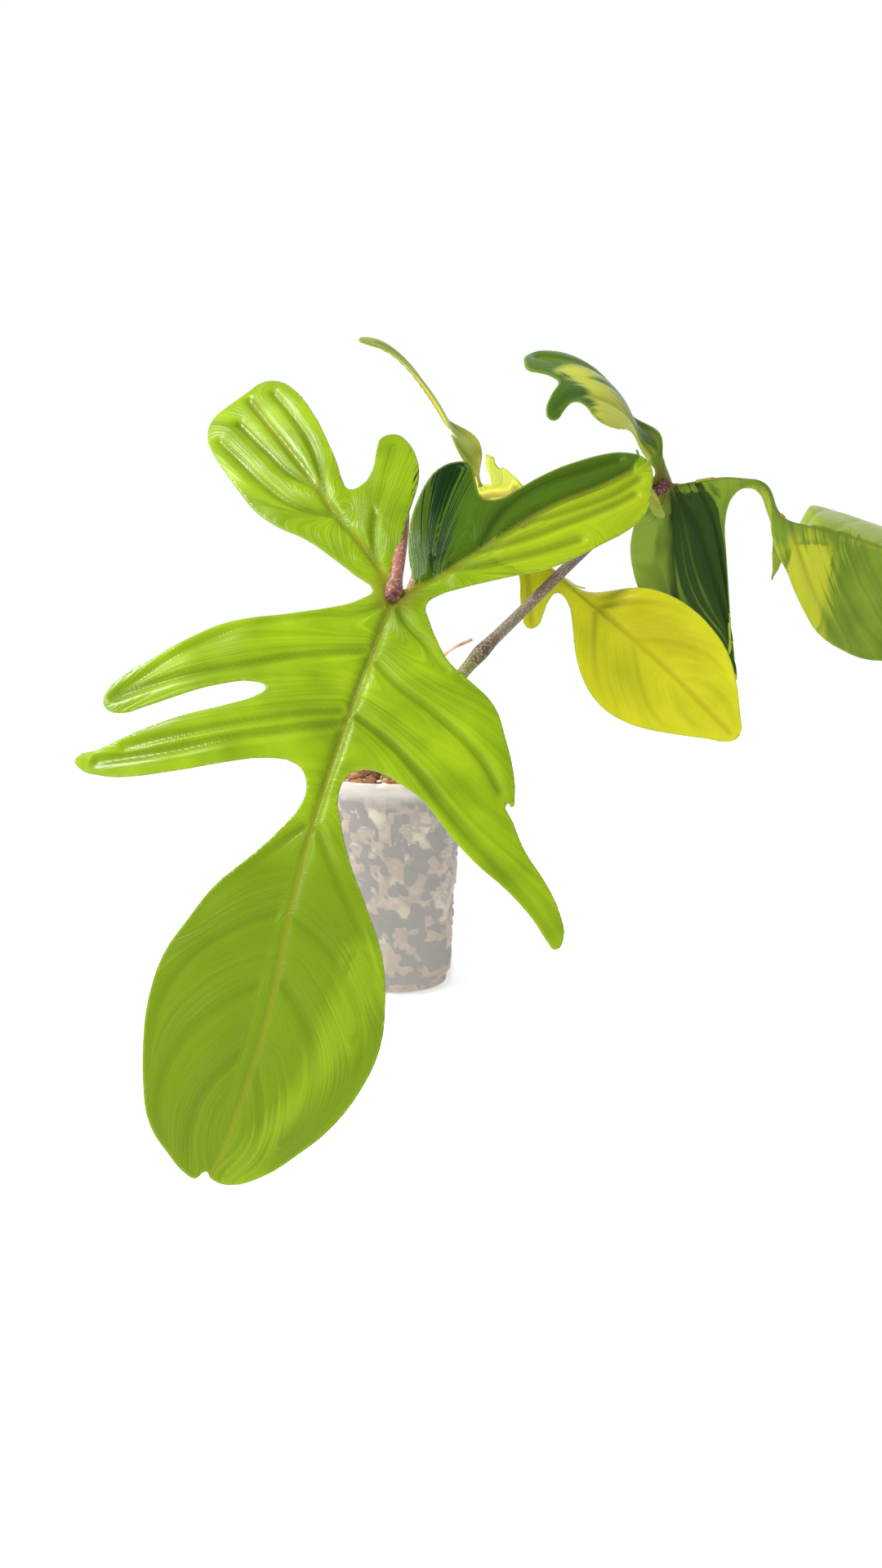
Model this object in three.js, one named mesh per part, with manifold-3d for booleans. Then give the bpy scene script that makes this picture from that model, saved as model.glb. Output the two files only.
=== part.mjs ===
// A young variegated philodendron with lobed leaves, in a small clear pot.
// Millimetres, +Z up. The origin is the middle of the pot's foot, on the surface it stands on.
// The front leaf hangs towards -Y, and the right leaf reaches out towards +X.

import * as THREE from 'three';
import { mergeVertices } from 'three/addons/utils/BufferGeometryUtils.js';
import Module from 'manifold-3d';

const wasm = await Module();
wasm.setup();

const plant = new THREE.Group();
const GAP = 0.3; // clear distance between two pieces that touch

function addMesh(name, geometry, material) {
  const mesh = new THREE.Mesh(geometry, material);
  mesh.name = name;
  plant.add(mesh);
}

// Solids to and from the library that joins and cuts them

function toSolid(geometry) {
  const bare = geometry.clone();
  bare.deleteAttribute('normal');
  bare.deleteAttribute('uv');
  const merged = mergeVertices(bare, 1e-4);
  return new wasm.Manifold(new wasm.Mesh({
    numProp: 3,
    vertProperties: new Float32Array(merged.attributes.position.array),
    triVerts: new Uint32Array(merged.index.array),
  }));
}

function toGeometry(solid) {
  const mesh = solid.getMesh();
  const geometry = new THREE.BufferGeometry();
  geometry.setAttribute('position', new THREE.BufferAttribute(mesh.vertProperties, 3));
  geometry.setIndex(new THREE.BufferAttribute(mesh.triVerts, 1));
  geometry.computeVertexNormals();
  return geometry;
}

// Cuts tool out of solid and leaves the clear gap all round it
function cutClear(solid, tool) {
  const steps = [-1, 0, 1];
  let left = solid;
  for (const x of steps) {
    for (const y of steps) {
      for (const z of steps) {
        const shift = new THREE.Vector3(x, y, z).setLength(x || y || z ? GAP : 0);
        left = left.subtract(tool.translate(shift.toArray()));
      }
    }
  }
  return left;
}

const largestPart = (solid) => solid.decompose().sort((a, b) => b.volume() - a.volume())[0];

// The same random numbers every run
function seededRandom(seed) {
  let state = seed;
  return () => {
    state = (state * 1664525 + 1013904223) % 4294967296;
    return state / 4294967296;
  };
}

// Pot: a tapered cup of clear plastic, with a turned-out rim band and drain holes in its floor

const POT_HEIGHT = 117;
const POT_RIM_RADIUS = 40;
const POT_FOOT_RADIUS = 32;
const POT_WALL = 1.2;
const POT_FOOT_ROUND = 3;
const RIM_BAND_HEIGHT = 6;
const RIM_BAND_OUT = 1.2;
const POT_SIDES = 48;
const DRAIN_HOLES = 6;
const DRAIN_RADIUS = 3;
const DRAIN_RING_RADIUS = 19;

const potRadiusAt = (z) => POT_FOOT_RADIUS + (POT_RIM_RADIUS - POT_FOOT_RADIUS) * z / POT_HEIGHT;

function latheAroundZ(profile, sides) {
  const geometry = new THREE.LatheGeometry(profile.map(([r, z]) => new THREE.Vector2(r, z)), sides);
  return geometry.rotateX(Math.PI / 2);
}

function buildPot() {
  const round = [];
  for (let step = 0; step <= 4; step += 1) {
    const turn = (step / 4) * Math.PI / 2;
    round.push([
      potRadiusAt(POT_FOOT_ROUND) - POT_FOOT_ROUND * (1 - Math.sin(turn)),
      POT_FOOT_ROUND * (1 - Math.cos(turn)),
    ]);
  }
  const bandFoot = POT_HEIGHT - RIM_BAND_HEIGHT;
  const profile = [
    [0, 0],
    ...round,
    [potRadiusAt(bandFoot), bandFoot],
    [potRadiusAt(bandFoot) + RIM_BAND_OUT, bandFoot + 0.8],
    [POT_RIM_RADIUS + RIM_BAND_OUT, POT_HEIGHT - 0.8],
    [POT_RIM_RADIUS + RIM_BAND_OUT - 0.7, POT_HEIGHT],
    [POT_RIM_RADIUS - POT_WALL + 0.5, POT_HEIGHT],
    [POT_RIM_RADIUS - POT_WALL, POT_HEIGHT - 0.6],
    [potRadiusAt(POT_FOOT_ROUND) - POT_WALL, POT_FOOT_ROUND + 1],
    [potRadiusAt(0) - POT_FOOT_ROUND, POT_WALL],
    [0, POT_WALL],
  ];
  let solid = toSolid(latheAroundZ(profile, POT_SIDES));
  for (let hole = 0; hole < DRAIN_HOLES; hole += 1) {
    const turn = (hole / DRAIN_HOLES) * Math.PI * 2;
    const drill = new THREE.CylinderGeometry(DRAIN_RADIUS, DRAIN_RADIUS, 4 * POT_WALL, 16);
    drill.rotateX(Math.PI / 2);
    drill.translate(DRAIN_RING_RADIUS * Math.cos(turn), DRAIN_RING_RADIUS * Math.sin(turn), 0);
    solid = solid.subtract(toSolid(drill));
  }
  const material = new THREE.MeshStandardMaterial({ color: 0xd8d6d2, roughness: 0.3, metalness: 0 });
  addMesh('pot', toGeometry(solid), material);
}

// Stem: short and upright, ringed where old leaves fell, its foot sunk in the mix

const STEM_FOOT_Z = 72;
const STEM_TOP_Z = 136;
const STEM_RADIUS = 7;
const STEM_RINGS = [108, 117, 126];

function stemProfile(extra) {
  const profile = [[0, STEM_FOOT_Z - extra], [STEM_RADIUS * 0.8 + extra, STEM_FOOT_Z - extra]];
  for (const ring of STEM_RINGS) {
    profile.push([STEM_RADIUS + extra, ring - 2]);
    profile.push([STEM_RADIUS + 0.8 + extra, ring]);
    profile.push([STEM_RADIUS + extra, ring + 2]);
  }
  profile.push([STEM_RADIUS * 0.85 + extra, STEM_TOP_Z - 3]);
  profile.push([STEM_RADIUS * 0.5 + extra, STEM_TOP_Z + extra]);
  profile.push([0, STEM_TOP_Z + extra]);
  return profile;
}

const stemSolid = (extra) => toSolid(latheAroundZ(stemProfile(extra), 20));

function buildStem() {
  const material = new THREE.MeshStandardMaterial({ color: 0x6f7a3a, roughness: 0.7, metalness: 0 });
  addMesh('stem', toGeometry(stemSolid(0)), material);
}

// Potting mix: bark, pumice and moss packed to just under the rim, with loose chips on top

const MIX_TOP_Z = 113;
const CHIP_COUNT = 46;
const CHIP_RING_INNER = 15;
const CHIP_RING_OUTER = 33;

function buildMix() {
  const random = seededRandom(7);
  const inner = (z) => potRadiusAt(z) - POT_WALL - GAP;
  const floor = POT_WALL + GAP;
  let solid = toSolid(latheAroundZ([
    [0, floor],
    [inner(0) - POT_FOOT_ROUND - 1, floor],
    [inner(POT_FOOT_ROUND + 4), POT_FOOT_ROUND + 4],
    [inner(MIX_TOP_Z) - 0.4, MIX_TOP_Z - 2],
    [inner(MIX_TOP_Z) - 4, MIX_TOP_Z],
    [0, MIX_TOP_Z + 2],
  ], POT_SIDES));
  for (let chip = 0; chip < CHIP_COUNT; chip += 1) {
    const shape = new THREE.IcosahedronGeometry(1, 0);
    shape.scale(3.5 + 3 * random(), 2.8 + 2 * random(), 2 + 1.6 * random());
    shape.rotateX((random() - 0.5) * 1.2);
    shape.rotateY((random() - 0.5) * 1.2);
    shape.rotateZ(random() * Math.PI);
    const turn = chip * 2.4;
    const out = CHIP_RING_INNER + (CHIP_RING_OUTER - CHIP_RING_INNER) * Math.sqrt(random());
    shape.translate(out * Math.cos(turn), out * Math.sin(turn), MIX_TOP_Z + 1 + 2.5 * random());
    solid = solid.add(toSolid(shape));
  }
  solid = solid.subtract(stemSolid(GAP));
  const bore = new THREE.CylinderGeometry(STEM_RADIUS + 3, STEM_RADIUS + 3, 30, 20);
  bore.rotateX(Math.PI / 2);
  bore.translate(0, 0, MIX_TOP_Z + 1 + 15);
  solid = largestPart(solid.subtract(toSolid(bore)));
  const material = new THREE.MeshStandardMaterial({ color: 0x8a7462, roughness: 0.95, metalness: 0 });
  addMesh('potting_mix', toGeometry(solid), material);
}

// Leaf blade: a thin sheet, drawn flat and then bent.
// Flat places are [along, across]: along the midrib from the petiole to the tip, and across it, with
// plus to the right of someone who faces the leaf's upper side with the tip hanging down.
// A list of [along, value] pairs says how a bend changes along the midrib.

const BLADE_THICKNESS = 0.7;
const RIB_HALF_WIDTH = 2.5;
const OUTLINE_STEP = 7;
const SAME_CORNER = 0.002;

function eased(pairs, along) {
  if (along <= pairs[0][0]) return pairs[0][1];
  for (let i = 1; i < pairs.length; i += 1) {
    const [from, fromValue] = pairs[i - 1];
    const [to, toValue] = pairs[i];
    if (along <= to) return fromValue + (toValue - fromValue) * THREE.MathUtils.smoothstep(along, from, to);
  }
  return pairs[pairs.length - 1][1];
}

class Bend {
  // heading: compass angle of the midrib; dip: its angle below the level; left and right: how far each
  // half stands above the level; curl: degrees that a half bends down for each millimetre of its width;
  // sway: how far the midrib bows sideways; cell: size of the squares that the faces are cut into
  constructor({ base, heading, dip, left, right, curl, sway = 0, length, cell }) {
    Object.assign(this, { heading, dip, left, right, curl, sway, length, cell });
    this.step = 2;
    this.spine = new Map([[0, new THREE.Vector3(...base)]]);
    for (let i = 0; i < 140; i += 1) {
      const halfway = (i + 0.5) * this.step;
      const ahead = this.forward(halfway).multiplyScalar(this.step);
      const behind = this.forward(-halfway).multiplyScalar(-this.step);
      this.spine.set(i + 1, this.spine.get(i).clone().add(ahead));
      this.spine.set(-i - 1, this.spine.get(-i).clone().add(behind));
    }
  }

  level(along) {
    const turn = THREE.MathUtils.degToRad(eased(this.heading, along));
    return new THREE.Vector3(Math.cos(turn), Math.sin(turn), 0);
  }

  forward(along) {
    const dip = THREE.MathUtils.degToRad(eased(this.dip, along));
    const level = this.level(along);
    return level.multiplyScalar(Math.cos(dip)).add(new THREE.Vector3(0, 0, -Math.sin(dip)));
  }

  middle(along, across) {
    const index = Math.floor(along / this.step);
    const point = this.spine.get(index).clone();
    point.lerp(this.spine.get(index + 1), along / this.step - index);
    const dip = THREE.MathUtils.degToRad(eased(this.dip, along));
    const level = this.level(along);
    const side = new THREE.Vector3(-level.y, level.x, 0);
    const up = level.multiplyScalar(Math.sin(dip)).add(new THREE.Vector3(0, 0, Math.cos(dip)));
    const half = across > 0 ? this.right : this.left;
    const rise = THREE.MathUtils.degToRad(eased(half, along));
    const curl = THREE.MathUtils.degToRad(across > 0 ? this.curl[1] : this.curl[0]);
    const end = rise - curl * Math.abs(across);
    const out = (Math.sin(rise) - Math.sin(end)) / curl;
    const lift = (Math.cos(end) - Math.cos(rise)) / curl;
    const share = THREE.MathUtils.clamp(along / this.length, 0, 1);
    const drift = this.sway * Math.sin(Math.PI * share);
    return point.addScaledVector(side, Math.sign(across) * out + drift).addScaledVector(up, lift);
  }

  normal(along, across) {
    const reach = 0.5;
    const down = this.middle(along + reach, across).sub(this.middle(along - reach, across));
    const over = this.middle(along, across + reach).sub(this.middle(along, across - reach));
    return down.cross(over).normalize();
  }

  place(along, across, offset) {
    return this.middle(along, across).addScaledVector(this.normal(along, across), offset);
  }
}

// Cuts the flat blade into square cells, so that both of its faces can bend. Returns flat triangles.
function flatBlade(outline, cell) {
  const corners = outline.map(([along, across]) => new THREE.Vector3(along, across, 0));
  const curve = new THREE.CatmullRomCurve3(corners, true, 'centripetal');
  const edge = curve.getSpacedPoints(Math.round(curve.getLength() / OUTLINE_STEP)).slice(0, -1);
  const shape = new THREE.Shape(edge.map((p) => new THREE.Vector2(p.x, p.y)));
  const sheet = toSolid(new THREE.ExtrudeGeometry(shape, { depth: 2, bevelEnabled: false }));
  const alongLines = [];
  const acrossLines = [-RIB_HALF_WIDTH, 0, RIB_HALF_WIDTH];
  for (let line = cell; line < 260; line += cell) {
    alongLines.push(line, -line);
    acrossLines.push(line, -line);
  }
  alongLines.push(0);
  alongLines.sort((p, q) => p - q);
  acrossLines.sort((p, q) => p - q);
  const triangles = [];
  for (let i = 1; i < alongLines.length; i += 1) {
    const strip = sheet.intersect(boxBetween([alongLines[i - 1], -300, -1], [alongLines[i], 300, 3]));
    if (strip.isEmpty()) continue;
    for (let j = 1; j < acrossLines.length; j += 1) {
      const piece = strip.intersect(boxBetween([-300, acrossLines[j - 1], -1], [300, acrossLines[j], 3]));
      if (piece.isEmpty()) continue;
      const { vertProperties, triVerts } = piece.getMesh();
      for (let t = 0; t < triVerts.length; t += 3) {
        const face = [...triVerts.slice(t, t + 3)];
        if (face.every((n) => vertProperties[3 * n + 2] > 1)) {
          triangles.push(face.map((n) => [vertProperties[3 * n], vertProperties[3 * n + 1]]));
        }
      }
    }
  }
  return triangles;
}

function boxBetween(low, high) {
  const size = high.map((value, axis) => value - low[axis]);
  const box = new THREE.BoxGeometry(...size);
  box.translate(...low.map((value, axis) => value + size[axis] / 2));
  return toSolid(box);
}

// Makes neighbouring triangles share whole edges: a triangle with a strange corner on one of its
// edges is split there, and one that has no width is left out
function joinedFaces(faces, corners) {
  const open = [...faces];
  const done = [];
  while (open.length > 0) {
    const face = open.pop();
    const turns = [0, 1, 2].map((turn) => [0, 1, 2].map((i) => face[(i + turn) % 3]));
    if (turns.some(([a, b, c]) => liesOn(corners[c], corners[a], corners[b]))) continue;
    const split = turns.map(([a, b, c]) => [
      a, b, c, corners.findIndex((p, i) => !face.includes(i) && liesOn(p, corners[a], corners[b])),
    ]).find((turn) => turn[3] >= 0);
    if (split) {
      const [a, b, c, between] = split;
      open.push([a, between, c], [between, b, c]);
    } else {
      done.push(face);
    }
  }
  return done;
}

function liesOn([x, y], [fromX, fromY], [toX, toY]) {
  const span = Math.hypot(toX - fromX, toY - fromY);
  const share = ((x - fromX) * (toX - fromX) + (y - fromY) * (toY - fromY)) / span ** 2;
  if (share <= 0 || share >= 1) return false;
  return Math.abs((x - fromX) * (toY - fromY) - (y - fromY) * (toX - fromX)) / span < SAME_CORNER;
}

function bladeGeometry(outline, bend) {
  const corners = [];
  const loose = [];
  const cornerNumber = (p) => {
    const known = corners.findIndex((q) => Math.hypot(p[0] - q[0], p[1] - q[1]) < SAME_CORNER);
    return known < 0 ? corners.push(p) - 1 : known;
  };
  for (const triangle of flatBlade(outline, bend.cell)) {
    const face = triangle.map(cornerNumber);
    if (new Set(face).size === 3) loose.push(face);
  }
  const faces = joinedFaces(loose, corners);
  const half = BLADE_THICKNESS / 2;
  const rib = ([along, across]) => {
    const ridge = Math.max(0, 1 - Math.abs(across) / RIB_HALF_WIDTH);
    const growth = THREE.MathUtils.smoothstep(along, 4, 16);
    return ridge * growth * Math.max(0.3, 1.9 - 1.6 * along / bend.length);
  };
  const upper = corners.map((p) => bend.place(p[0], p[1], half));
  const lower = corners.map((p) => bend.place(p[0], p[1], -half - rib(p)));
  const count = corners.length;
  const index = [];
  const edges = new Map();
  for (const [a, b, c] of faces) {
    index.push(a, b, c, a + count, c + count, b + count);
    for (const [from, to] of [[a, b], [b, c], [c, a]]) {
      if (edges.has(`${to} ${from}`)) edges.delete(`${to} ${from}`);
      else edges.set(`${from} ${to}`, [from, to]);
    }
  }
  for (const [from, to] of edges.values()) {
    index.push(from, from + count, to + count, from, to + count, to);
  }
  const geometry = new THREE.BufferGeometry();
  geometry.setAttribute('position', new THREE.Float32BufferAttribute(
    [...upper, ...lower].flatMap((p) => p.toArray()),
    3,
  ));
  geometry.setIndex(index);
  geometry.computeVertexNormals();
  return geometry;
}

// Front leaf, seen whole: hangs from its bent petiole, tip down and to the left

const frontOutline = [
  // right basal lobe, from the petiole notch up and round
  [-4, 5], [-10, 3], [-17, -1], [-26, -5], [-36, -8], [-47, -9.6], [-57, -10], [-67, -8.5], [-75, -3],
  [-77, 2],
  [-73, 6], [-66, 10], [-59, 16], [-60, 21], [-70, 28], [-82, 35], [-94, 44], [-105, 54], [-111, 63],
  [-112, 72], [-107, 77], [-96, 80], [-82, 82], [-68, 78], [-55, 70], [-43, 62], [-33, 54], [-26, 45],
  [-18, 34], [-10, 24], [-4, 17],
  // right side lobe, with its torn tooth
  [2, 14], [10, 18], [18, 24], [26, 32], [31, 41], [38, 53], [50, 61], [64, 68], [74, 71], [78, 71], [77, 69],
  [84, 73], [94, 80], [104, 90], [115, 98], [124, 101], [129, 99], [127, 96], [120, 89], [112, 78],
  [104, 63], [95, 50], [87, 40], [82, 28], [80, 18],
  // end lobe, down its right edge, round the tip and up its left edge
  [83, 10], [92, 8], [104, 13], [118, 21], [132, 31], [148, 41], [164, 46], [180, 48], [195, 45], [210, 38],
  [222, 28], [231, 18], [236, 7], [235, 0], [233, -2], [236, -5], [235, -9], [230, -16], [221, -25],
  [208, -31], [193, -35], [178, -37], [164, -36], [150, -31], [138, -26], [125, -17], [112, -9], [99, -4],
  [90, -6],
  // lower left side lobe
  [86, -11], [87, -23], [93, -37], [101, -55], [107, -71], [109, -84], [108, -92], [105, -95], [100, -87],
  [91, -76], [80, -60], [70, -43], [64, -35],
  // upper left side lobe
  [60, -33], [59, -38], [64, -51], [72, -64], [80, -76], [85, -85], [84, -92], [79, -94], [70, -90],
  [60, -81], [49, -71], [41, -63], [34, -52], [26, -36], [17, -21], [9, -12],
  // left basal lobe, with its inner lobe
  [3, -9], [-1, -18], [-6, -31], [-11, -46], [-13, -58], [-18, -71], [-26, -83], [-35, -95], [-45, -107],
  [-54, -115], [-64, -118], [-75, -115], [-84, -111], [-92, -107], [-94, -100], [-90, -89], [-79, -74],
  [-66, -61], [-54, -50], [-45, -43], [-42, -39], [-46, -35], [-56, -34], [-67, -37], [-75, -38],
  [-79, -33], [-77, -27], [-70, -19.5], [-60, -14], [-48, -11.4], [-36, -9.8], [-26, -7.6], [-16, -6.3],
  [-8, -5.6], [-3, -4],
];

const frontBend = new Bend({
  base: [7, -150, 212],
  length: 235,
  cell: 20,
  heading: [[0, -123]],
  dip: [[-120, 44], [0, 49], [240, 73]],
  left: [[0, 31]],
  right: [[0, -21]],
  curl: [0.15, 0.15],
  sway: 5,
});

// Rear leaf: turns its end lobe to the viewer and lifts one basal lobe high

const rearOutline = [
  // right basal lobe
  [-5, 4], [-11, 3], [-19, 2], [-27, 3], [-32, 7], [-33, 12], [-30, 16], [-27, 19], [-32, 25], [-41, 33],
  [-50, 42], [-58, 48], [-66, 52], [-67, 55], [-60, 58], [-49, 56], [-40, 51], [-32, 44], [-25, 37],
  [-18, 28], [-12, 19], [-6, 13],
  // right side lobes
  [4, 13], [14, 20], [24, 32], [34, 48], [42, 62], [48, 70], [54, 69], [54, 60], [50, 46], [46, 32], [48, 24],
  [56, 26], [64, 33], [71, 40], [77, 43], [82, 40], [83, 31], [80, 21], [80, 12],
  // end lobe
  [88, 11], [97, 17], [108, 25], [124, 33], [140, 36], [156, 35], [171, 31], [186, 22], [199, 11], [209, 0],
  [206, -7], [197, -13], [184, -22], [168, -32], [154, -38], [138, -40], [122, -36], [106, -26], [94, -15],
  [84, -8],
  // left side lobes
  [76, -8], [75, -15], [78, -23], [80, -30], [76, -35], [68, -32], [59, -26], [52, -20], [45, -17],
  [40, -20], [37, -28], [35, -40], [31, -50], [24, -51], [18, -40], [12, -26], [7, -15],
  // left basal lobe
  [2, -12], [0, -24], [-5, -40], [-11, -54], [-18, -63], [-26, -65], [-32, -58], [-33, -50], [-30, -44],
  [-34, -43], [-41, -46], [-47, -46], [-46, -42], [-37, -37], [-27, -29], [-18, -25], [-12, -20], [-9, -11],
  [-5, -3],
];

const rearBend = new Bend({
  base: [48, 32, 270.3],
  length: 209,
  cell: 15,
  heading: [[0, 48], [100, -18]],
  dip: [[-75, -14], [-25, 44], [0, 40], [240, 41]],
  left: [[20, -22], [50, -66], [110, -84]],
  right: [[-60, 66], [-30, 58], [-12, 84], [2, 56], [50, 14], [78, 8], [116, 84]],
  curl: [0.12, 0.4],
});

// Right leaf: arches out sideways like a roof, its near half hanging and one basal lobe curling up

const sideOutline = [
  // right basal lobe
  [-5, 4], [-12, 5], [-22, 5], [-34, 5], [-46, 5], [-54, 9], [-57, 17], [-56, 25], [-58, 31], [-63, 32],
  [-69, 33], [-71, 37], [-67, 41], [-61, 43], [-56, 45], [-55, 51], [-56, 58], [-57, 64], [-55, 70],
  [-51, 76], [-46, 78], [-41, 73], [-35, 62], [-30, 52], [-25, 43], [-20, 34], [-15, 25], [-10, 18], [-4, 14],
  // right side lobes
  [4, 15], [14, 22], [24, 34], [33, 44], [40, 47], [44, 40], [45, 28], [47, 16], [52, 9], [60, 7], [70, 7],
  [82, 7], [90, 9], [95, 16], [98, 25], [101, 34], [104, 41], [107, 40], [106, 31], [104, 23], [105, 17],
  // end lobe
  [109, 18], [114, 26], [122, 38], [138, 52], [156, 60], [174, 62], [192, 58], [208, 48], [222, 34],
  [232, 18], [238, 2], [234, -14], [224, -32], [208, -50], [190, -62], [170, -69], [149, -68], [130, -62],
  [118, -52], [108, -41], [99, -28], [92, -15], [86, -7],
  // left side lobe
  [78, -4], [66, -4], [56, -6], [47, -12], [41, -24], [39, -42], [40, -60], [44, -80], [49, -98], [46, -114],
  [36, -122], [24, -120], [12, -108], [6, -92], [2, -74], [-1, -56], [-4, -38], [-5, -22],
  // left basal lobe
  [-2, -12], [-7, -20], [-13, -31], [-20, -42], [-28, -51], [-36, -54], [-42, -50], [-43, -42], [-38, -33],
  [-31, -24], [-33, -16], [-36, -10], [-31, -6], [-22, -5], [-12, -3], [-6, -1],
];

const sideBend = new Bend({
  base: [154.4, 75, 280.5],
  length: 238,
  cell: 14,
  heading: [[-25, 52], [15, 8]],
  dip: [
    [-70, -50], [-45, -10], [-25, 52], [-6, 34], [6, 0], [18, -14], [56, 4], [80, 66], [102, 14], [235, 18],
  ],
  left: [[-30, -60], [0, -80]],
  right: [[-50, 64], [-30, 72], [-12, 100], [2, 84], [20, -50], [102, -50], [118, 40]],
  curl: [0.1, 0.55],
});

function buildBlade(name, outline, bend, color) {
  const material = new THREE.MeshStandardMaterial({ color, roughness: 0.45, metalness: 0 });
  addMesh(name, bladeGeometry(outline, bend), material);
}

// Petioles: round leaf stalks that leave the stem, each cut to the stem and to its blade

const PETIOLE_SIDES = 10;
const PETIOLE_STEP = 7;

function stalkGeometry(points, radiusAt) {
  const curve = new THREE.CatmullRomCurve3(points.map((p) => new THREE.Vector3(...p)), false, 'centripetal');
  const rings = Math.round(curve.getLength() / PETIOLE_STEP);
  const section = new THREE.Shape();
  section.absarc(0, 0, 1, 0, Math.PI * 2);
  const geometry = new THREE.ExtrudeGeometry(section, {
    steps: rings,
    curveSegments: PETIOLE_SIDES,
    extrudePath: curve,
    bevelEnabled: false,
  });
  const centres = curve.getSpacedPoints(rings);
  const position = geometry.attributes.position;
  for (let i = 0; i < position.count; i += 1) {
    const point = new THREE.Vector3().fromBufferAttribute(position, i);
    let nearest = 0;
    for (let ring = 1; ring <= rings; ring += 1) {
      if (centres[ring].distanceTo(point) < centres[nearest].distanceTo(point)) nearest = ring;
    }
    const centre = centres[nearest];
    point.sub(centre).setLength(radiusAt(nearest / rings)).add(centre);
    position.setXYZ(i, point.x, point.y, point.z);
  }
  return geometry;
}

// The last stretch of a petiole: it meets the blade's lower side just past the notch
function underBlade(bend) {
  return bend.place(5, 0, -0.5).toArray();
}

const thinning = (foot, head) => (share) => foot + (head - foot) * Math.min(1, share * 1.4);

const KNUCKLE_RISE = 0.9;

function withKnuckle(radiusAt, knuckleShare) {
  return (share) => radiusAt(share) + KNUCKLE_RISE * Math.exp(-(((share - knuckleShare) / 0.03) ** 2));
}

const petioles = [
  {
    name: 'petiole_front',
    points: [
      [-2, -3, 119], [-3, -11, 134], [-2, -22, 172], [1, -38, 212], [5, -62, 240], [8, -92, 249],
      [9, -120, 241], [8, -139, 226],
    ],
    radius: thinning(4.2, 2.7),
    outline: frontOutline,
    bend: frontBend,
  },
  {
    name: 'petiole_rear',
    points: [
      [-2, 3, 122], [-3, 10, 138], [-1, 14, 175], [6, 19, 208], [19, 24, 238], [36, 29, 259],
    ],
    radius: thinning(4.0, 2.6),
    outline: rearOutline,
    bend: rearBend,
  },
  {
    name: 'petiole_right',
    points: [
      [3, 1, 124], [12, 4, 136], [39, 14, 173], [72, 27, 206], [107, 46, 239], [136, 63, 264],
    ],
    radius: withKnuckle(thinning(3.8, 2.9), 0.32),
    outline: sideOutline,
    bend: sideBend,
  },
];

function buildPetioles() {
  for (const { name, points, radius, outline, bend } of petioles) {
    const stalk = toSolid(stalkGeometry([...points, underBlade(bend)], radius));
    const blade = toSolid(bladeGeometry(outline, bend));
    const trimmed = largestPart(cutClear(stalk.subtract(stemSolid(GAP)), blade));
    const material = new THREE.MeshStandardMaterial({ color: 0x8f5a50, roughness: 0.75, metalness: 0 });
    addMesh(name, toGeometry(trimmed), material);
  }
}

// Sheath: the thin dry wrap of the youngest leaf, curling off the stem's tip

function buildSheath() {
  const stalk = stalkGeometry(
    [[1, 0, 134], [4, -1, 141], [9, -3, 156], [18, -4, 172], [30, -4, 184], [42, -3, 190]],
    (share) => 0.8 + 2.6 * (1 - share),
  );
  const material = new THREE.MeshStandardMaterial({ color: 0xc98f7a, roughness: 0.8, metalness: 0 });
  addMesh('leaf_sheath', toGeometry(toSolid(stalk).subtract(stemSolid(GAP))), material);
}

buildPot();
buildMix();
buildStem();
buildPetioles();
buildSheath();
buildBlade('leaf_front', frontOutline, frontBend, 0x93b52c);
buildBlade('leaf_rear', rearOutline, rearBend, 0xc8d02e);
buildBlade('leaf_right', sideOutline, sideBend, 0x4d7a30);

export default plant;
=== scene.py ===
import math
import random

import bmesh
import bpy
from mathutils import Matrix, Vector, noise
from mathutils.kdtree import KDTree


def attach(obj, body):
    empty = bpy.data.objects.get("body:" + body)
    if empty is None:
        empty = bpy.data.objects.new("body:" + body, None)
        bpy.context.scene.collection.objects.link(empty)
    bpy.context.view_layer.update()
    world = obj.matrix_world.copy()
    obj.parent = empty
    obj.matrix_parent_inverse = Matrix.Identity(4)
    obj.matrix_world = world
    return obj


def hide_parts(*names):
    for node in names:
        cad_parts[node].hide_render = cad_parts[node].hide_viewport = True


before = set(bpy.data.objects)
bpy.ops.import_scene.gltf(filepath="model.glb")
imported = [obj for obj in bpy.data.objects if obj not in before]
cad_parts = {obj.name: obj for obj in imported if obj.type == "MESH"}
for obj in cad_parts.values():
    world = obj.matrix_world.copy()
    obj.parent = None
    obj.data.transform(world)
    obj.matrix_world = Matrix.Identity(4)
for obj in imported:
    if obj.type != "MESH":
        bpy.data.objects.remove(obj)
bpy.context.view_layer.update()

scene = bpy.context.scene
MM = 0.001  # sizes are given in millimetres, and a finished mesh is scaled by this

# Camera: stands at the front leaf's height, about 60 cm before the pot, and looks a little down.
# The lens takes in the whole pot and crops the tip of the right leaf.

CAMERA_PLACE = (0.0253, -0.615, 0.203)  # metres from the middle of the pot's foot
LOOK_DOWN = 8.5  # degrees

camera = bpy.data.objects.new("camera", bpy.data.cameras.new("camera"))
camera.data.lens = 26
camera.data.sensor_width = 36
camera.data.dof.use_dof = False
camera.location = CAMERA_PLACE
camera.rotation_euler = (math.radians(90 - LOOK_DOWN), 0, 0)
scene.collection.objects.link(camera)
scene.camera = camera

# Studio: a white acrylic table that runs on far behind the plant and glows faintly, painted light that
# washes out the shadows on it, in even white daylight.
# One soft light hangs high on the left, and a weaker window on the left opens the shadows.

TABLE_HALF_WIDTH = 8  # metres, so that its edge is out of sight
PAPER_WHITE = "#FAFCFF"
ROOM_STRENGTH = 1.04
OVERHEAD_STRENGTH = 0.55

scene.view_settings.view_transform = "Standard"


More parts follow.
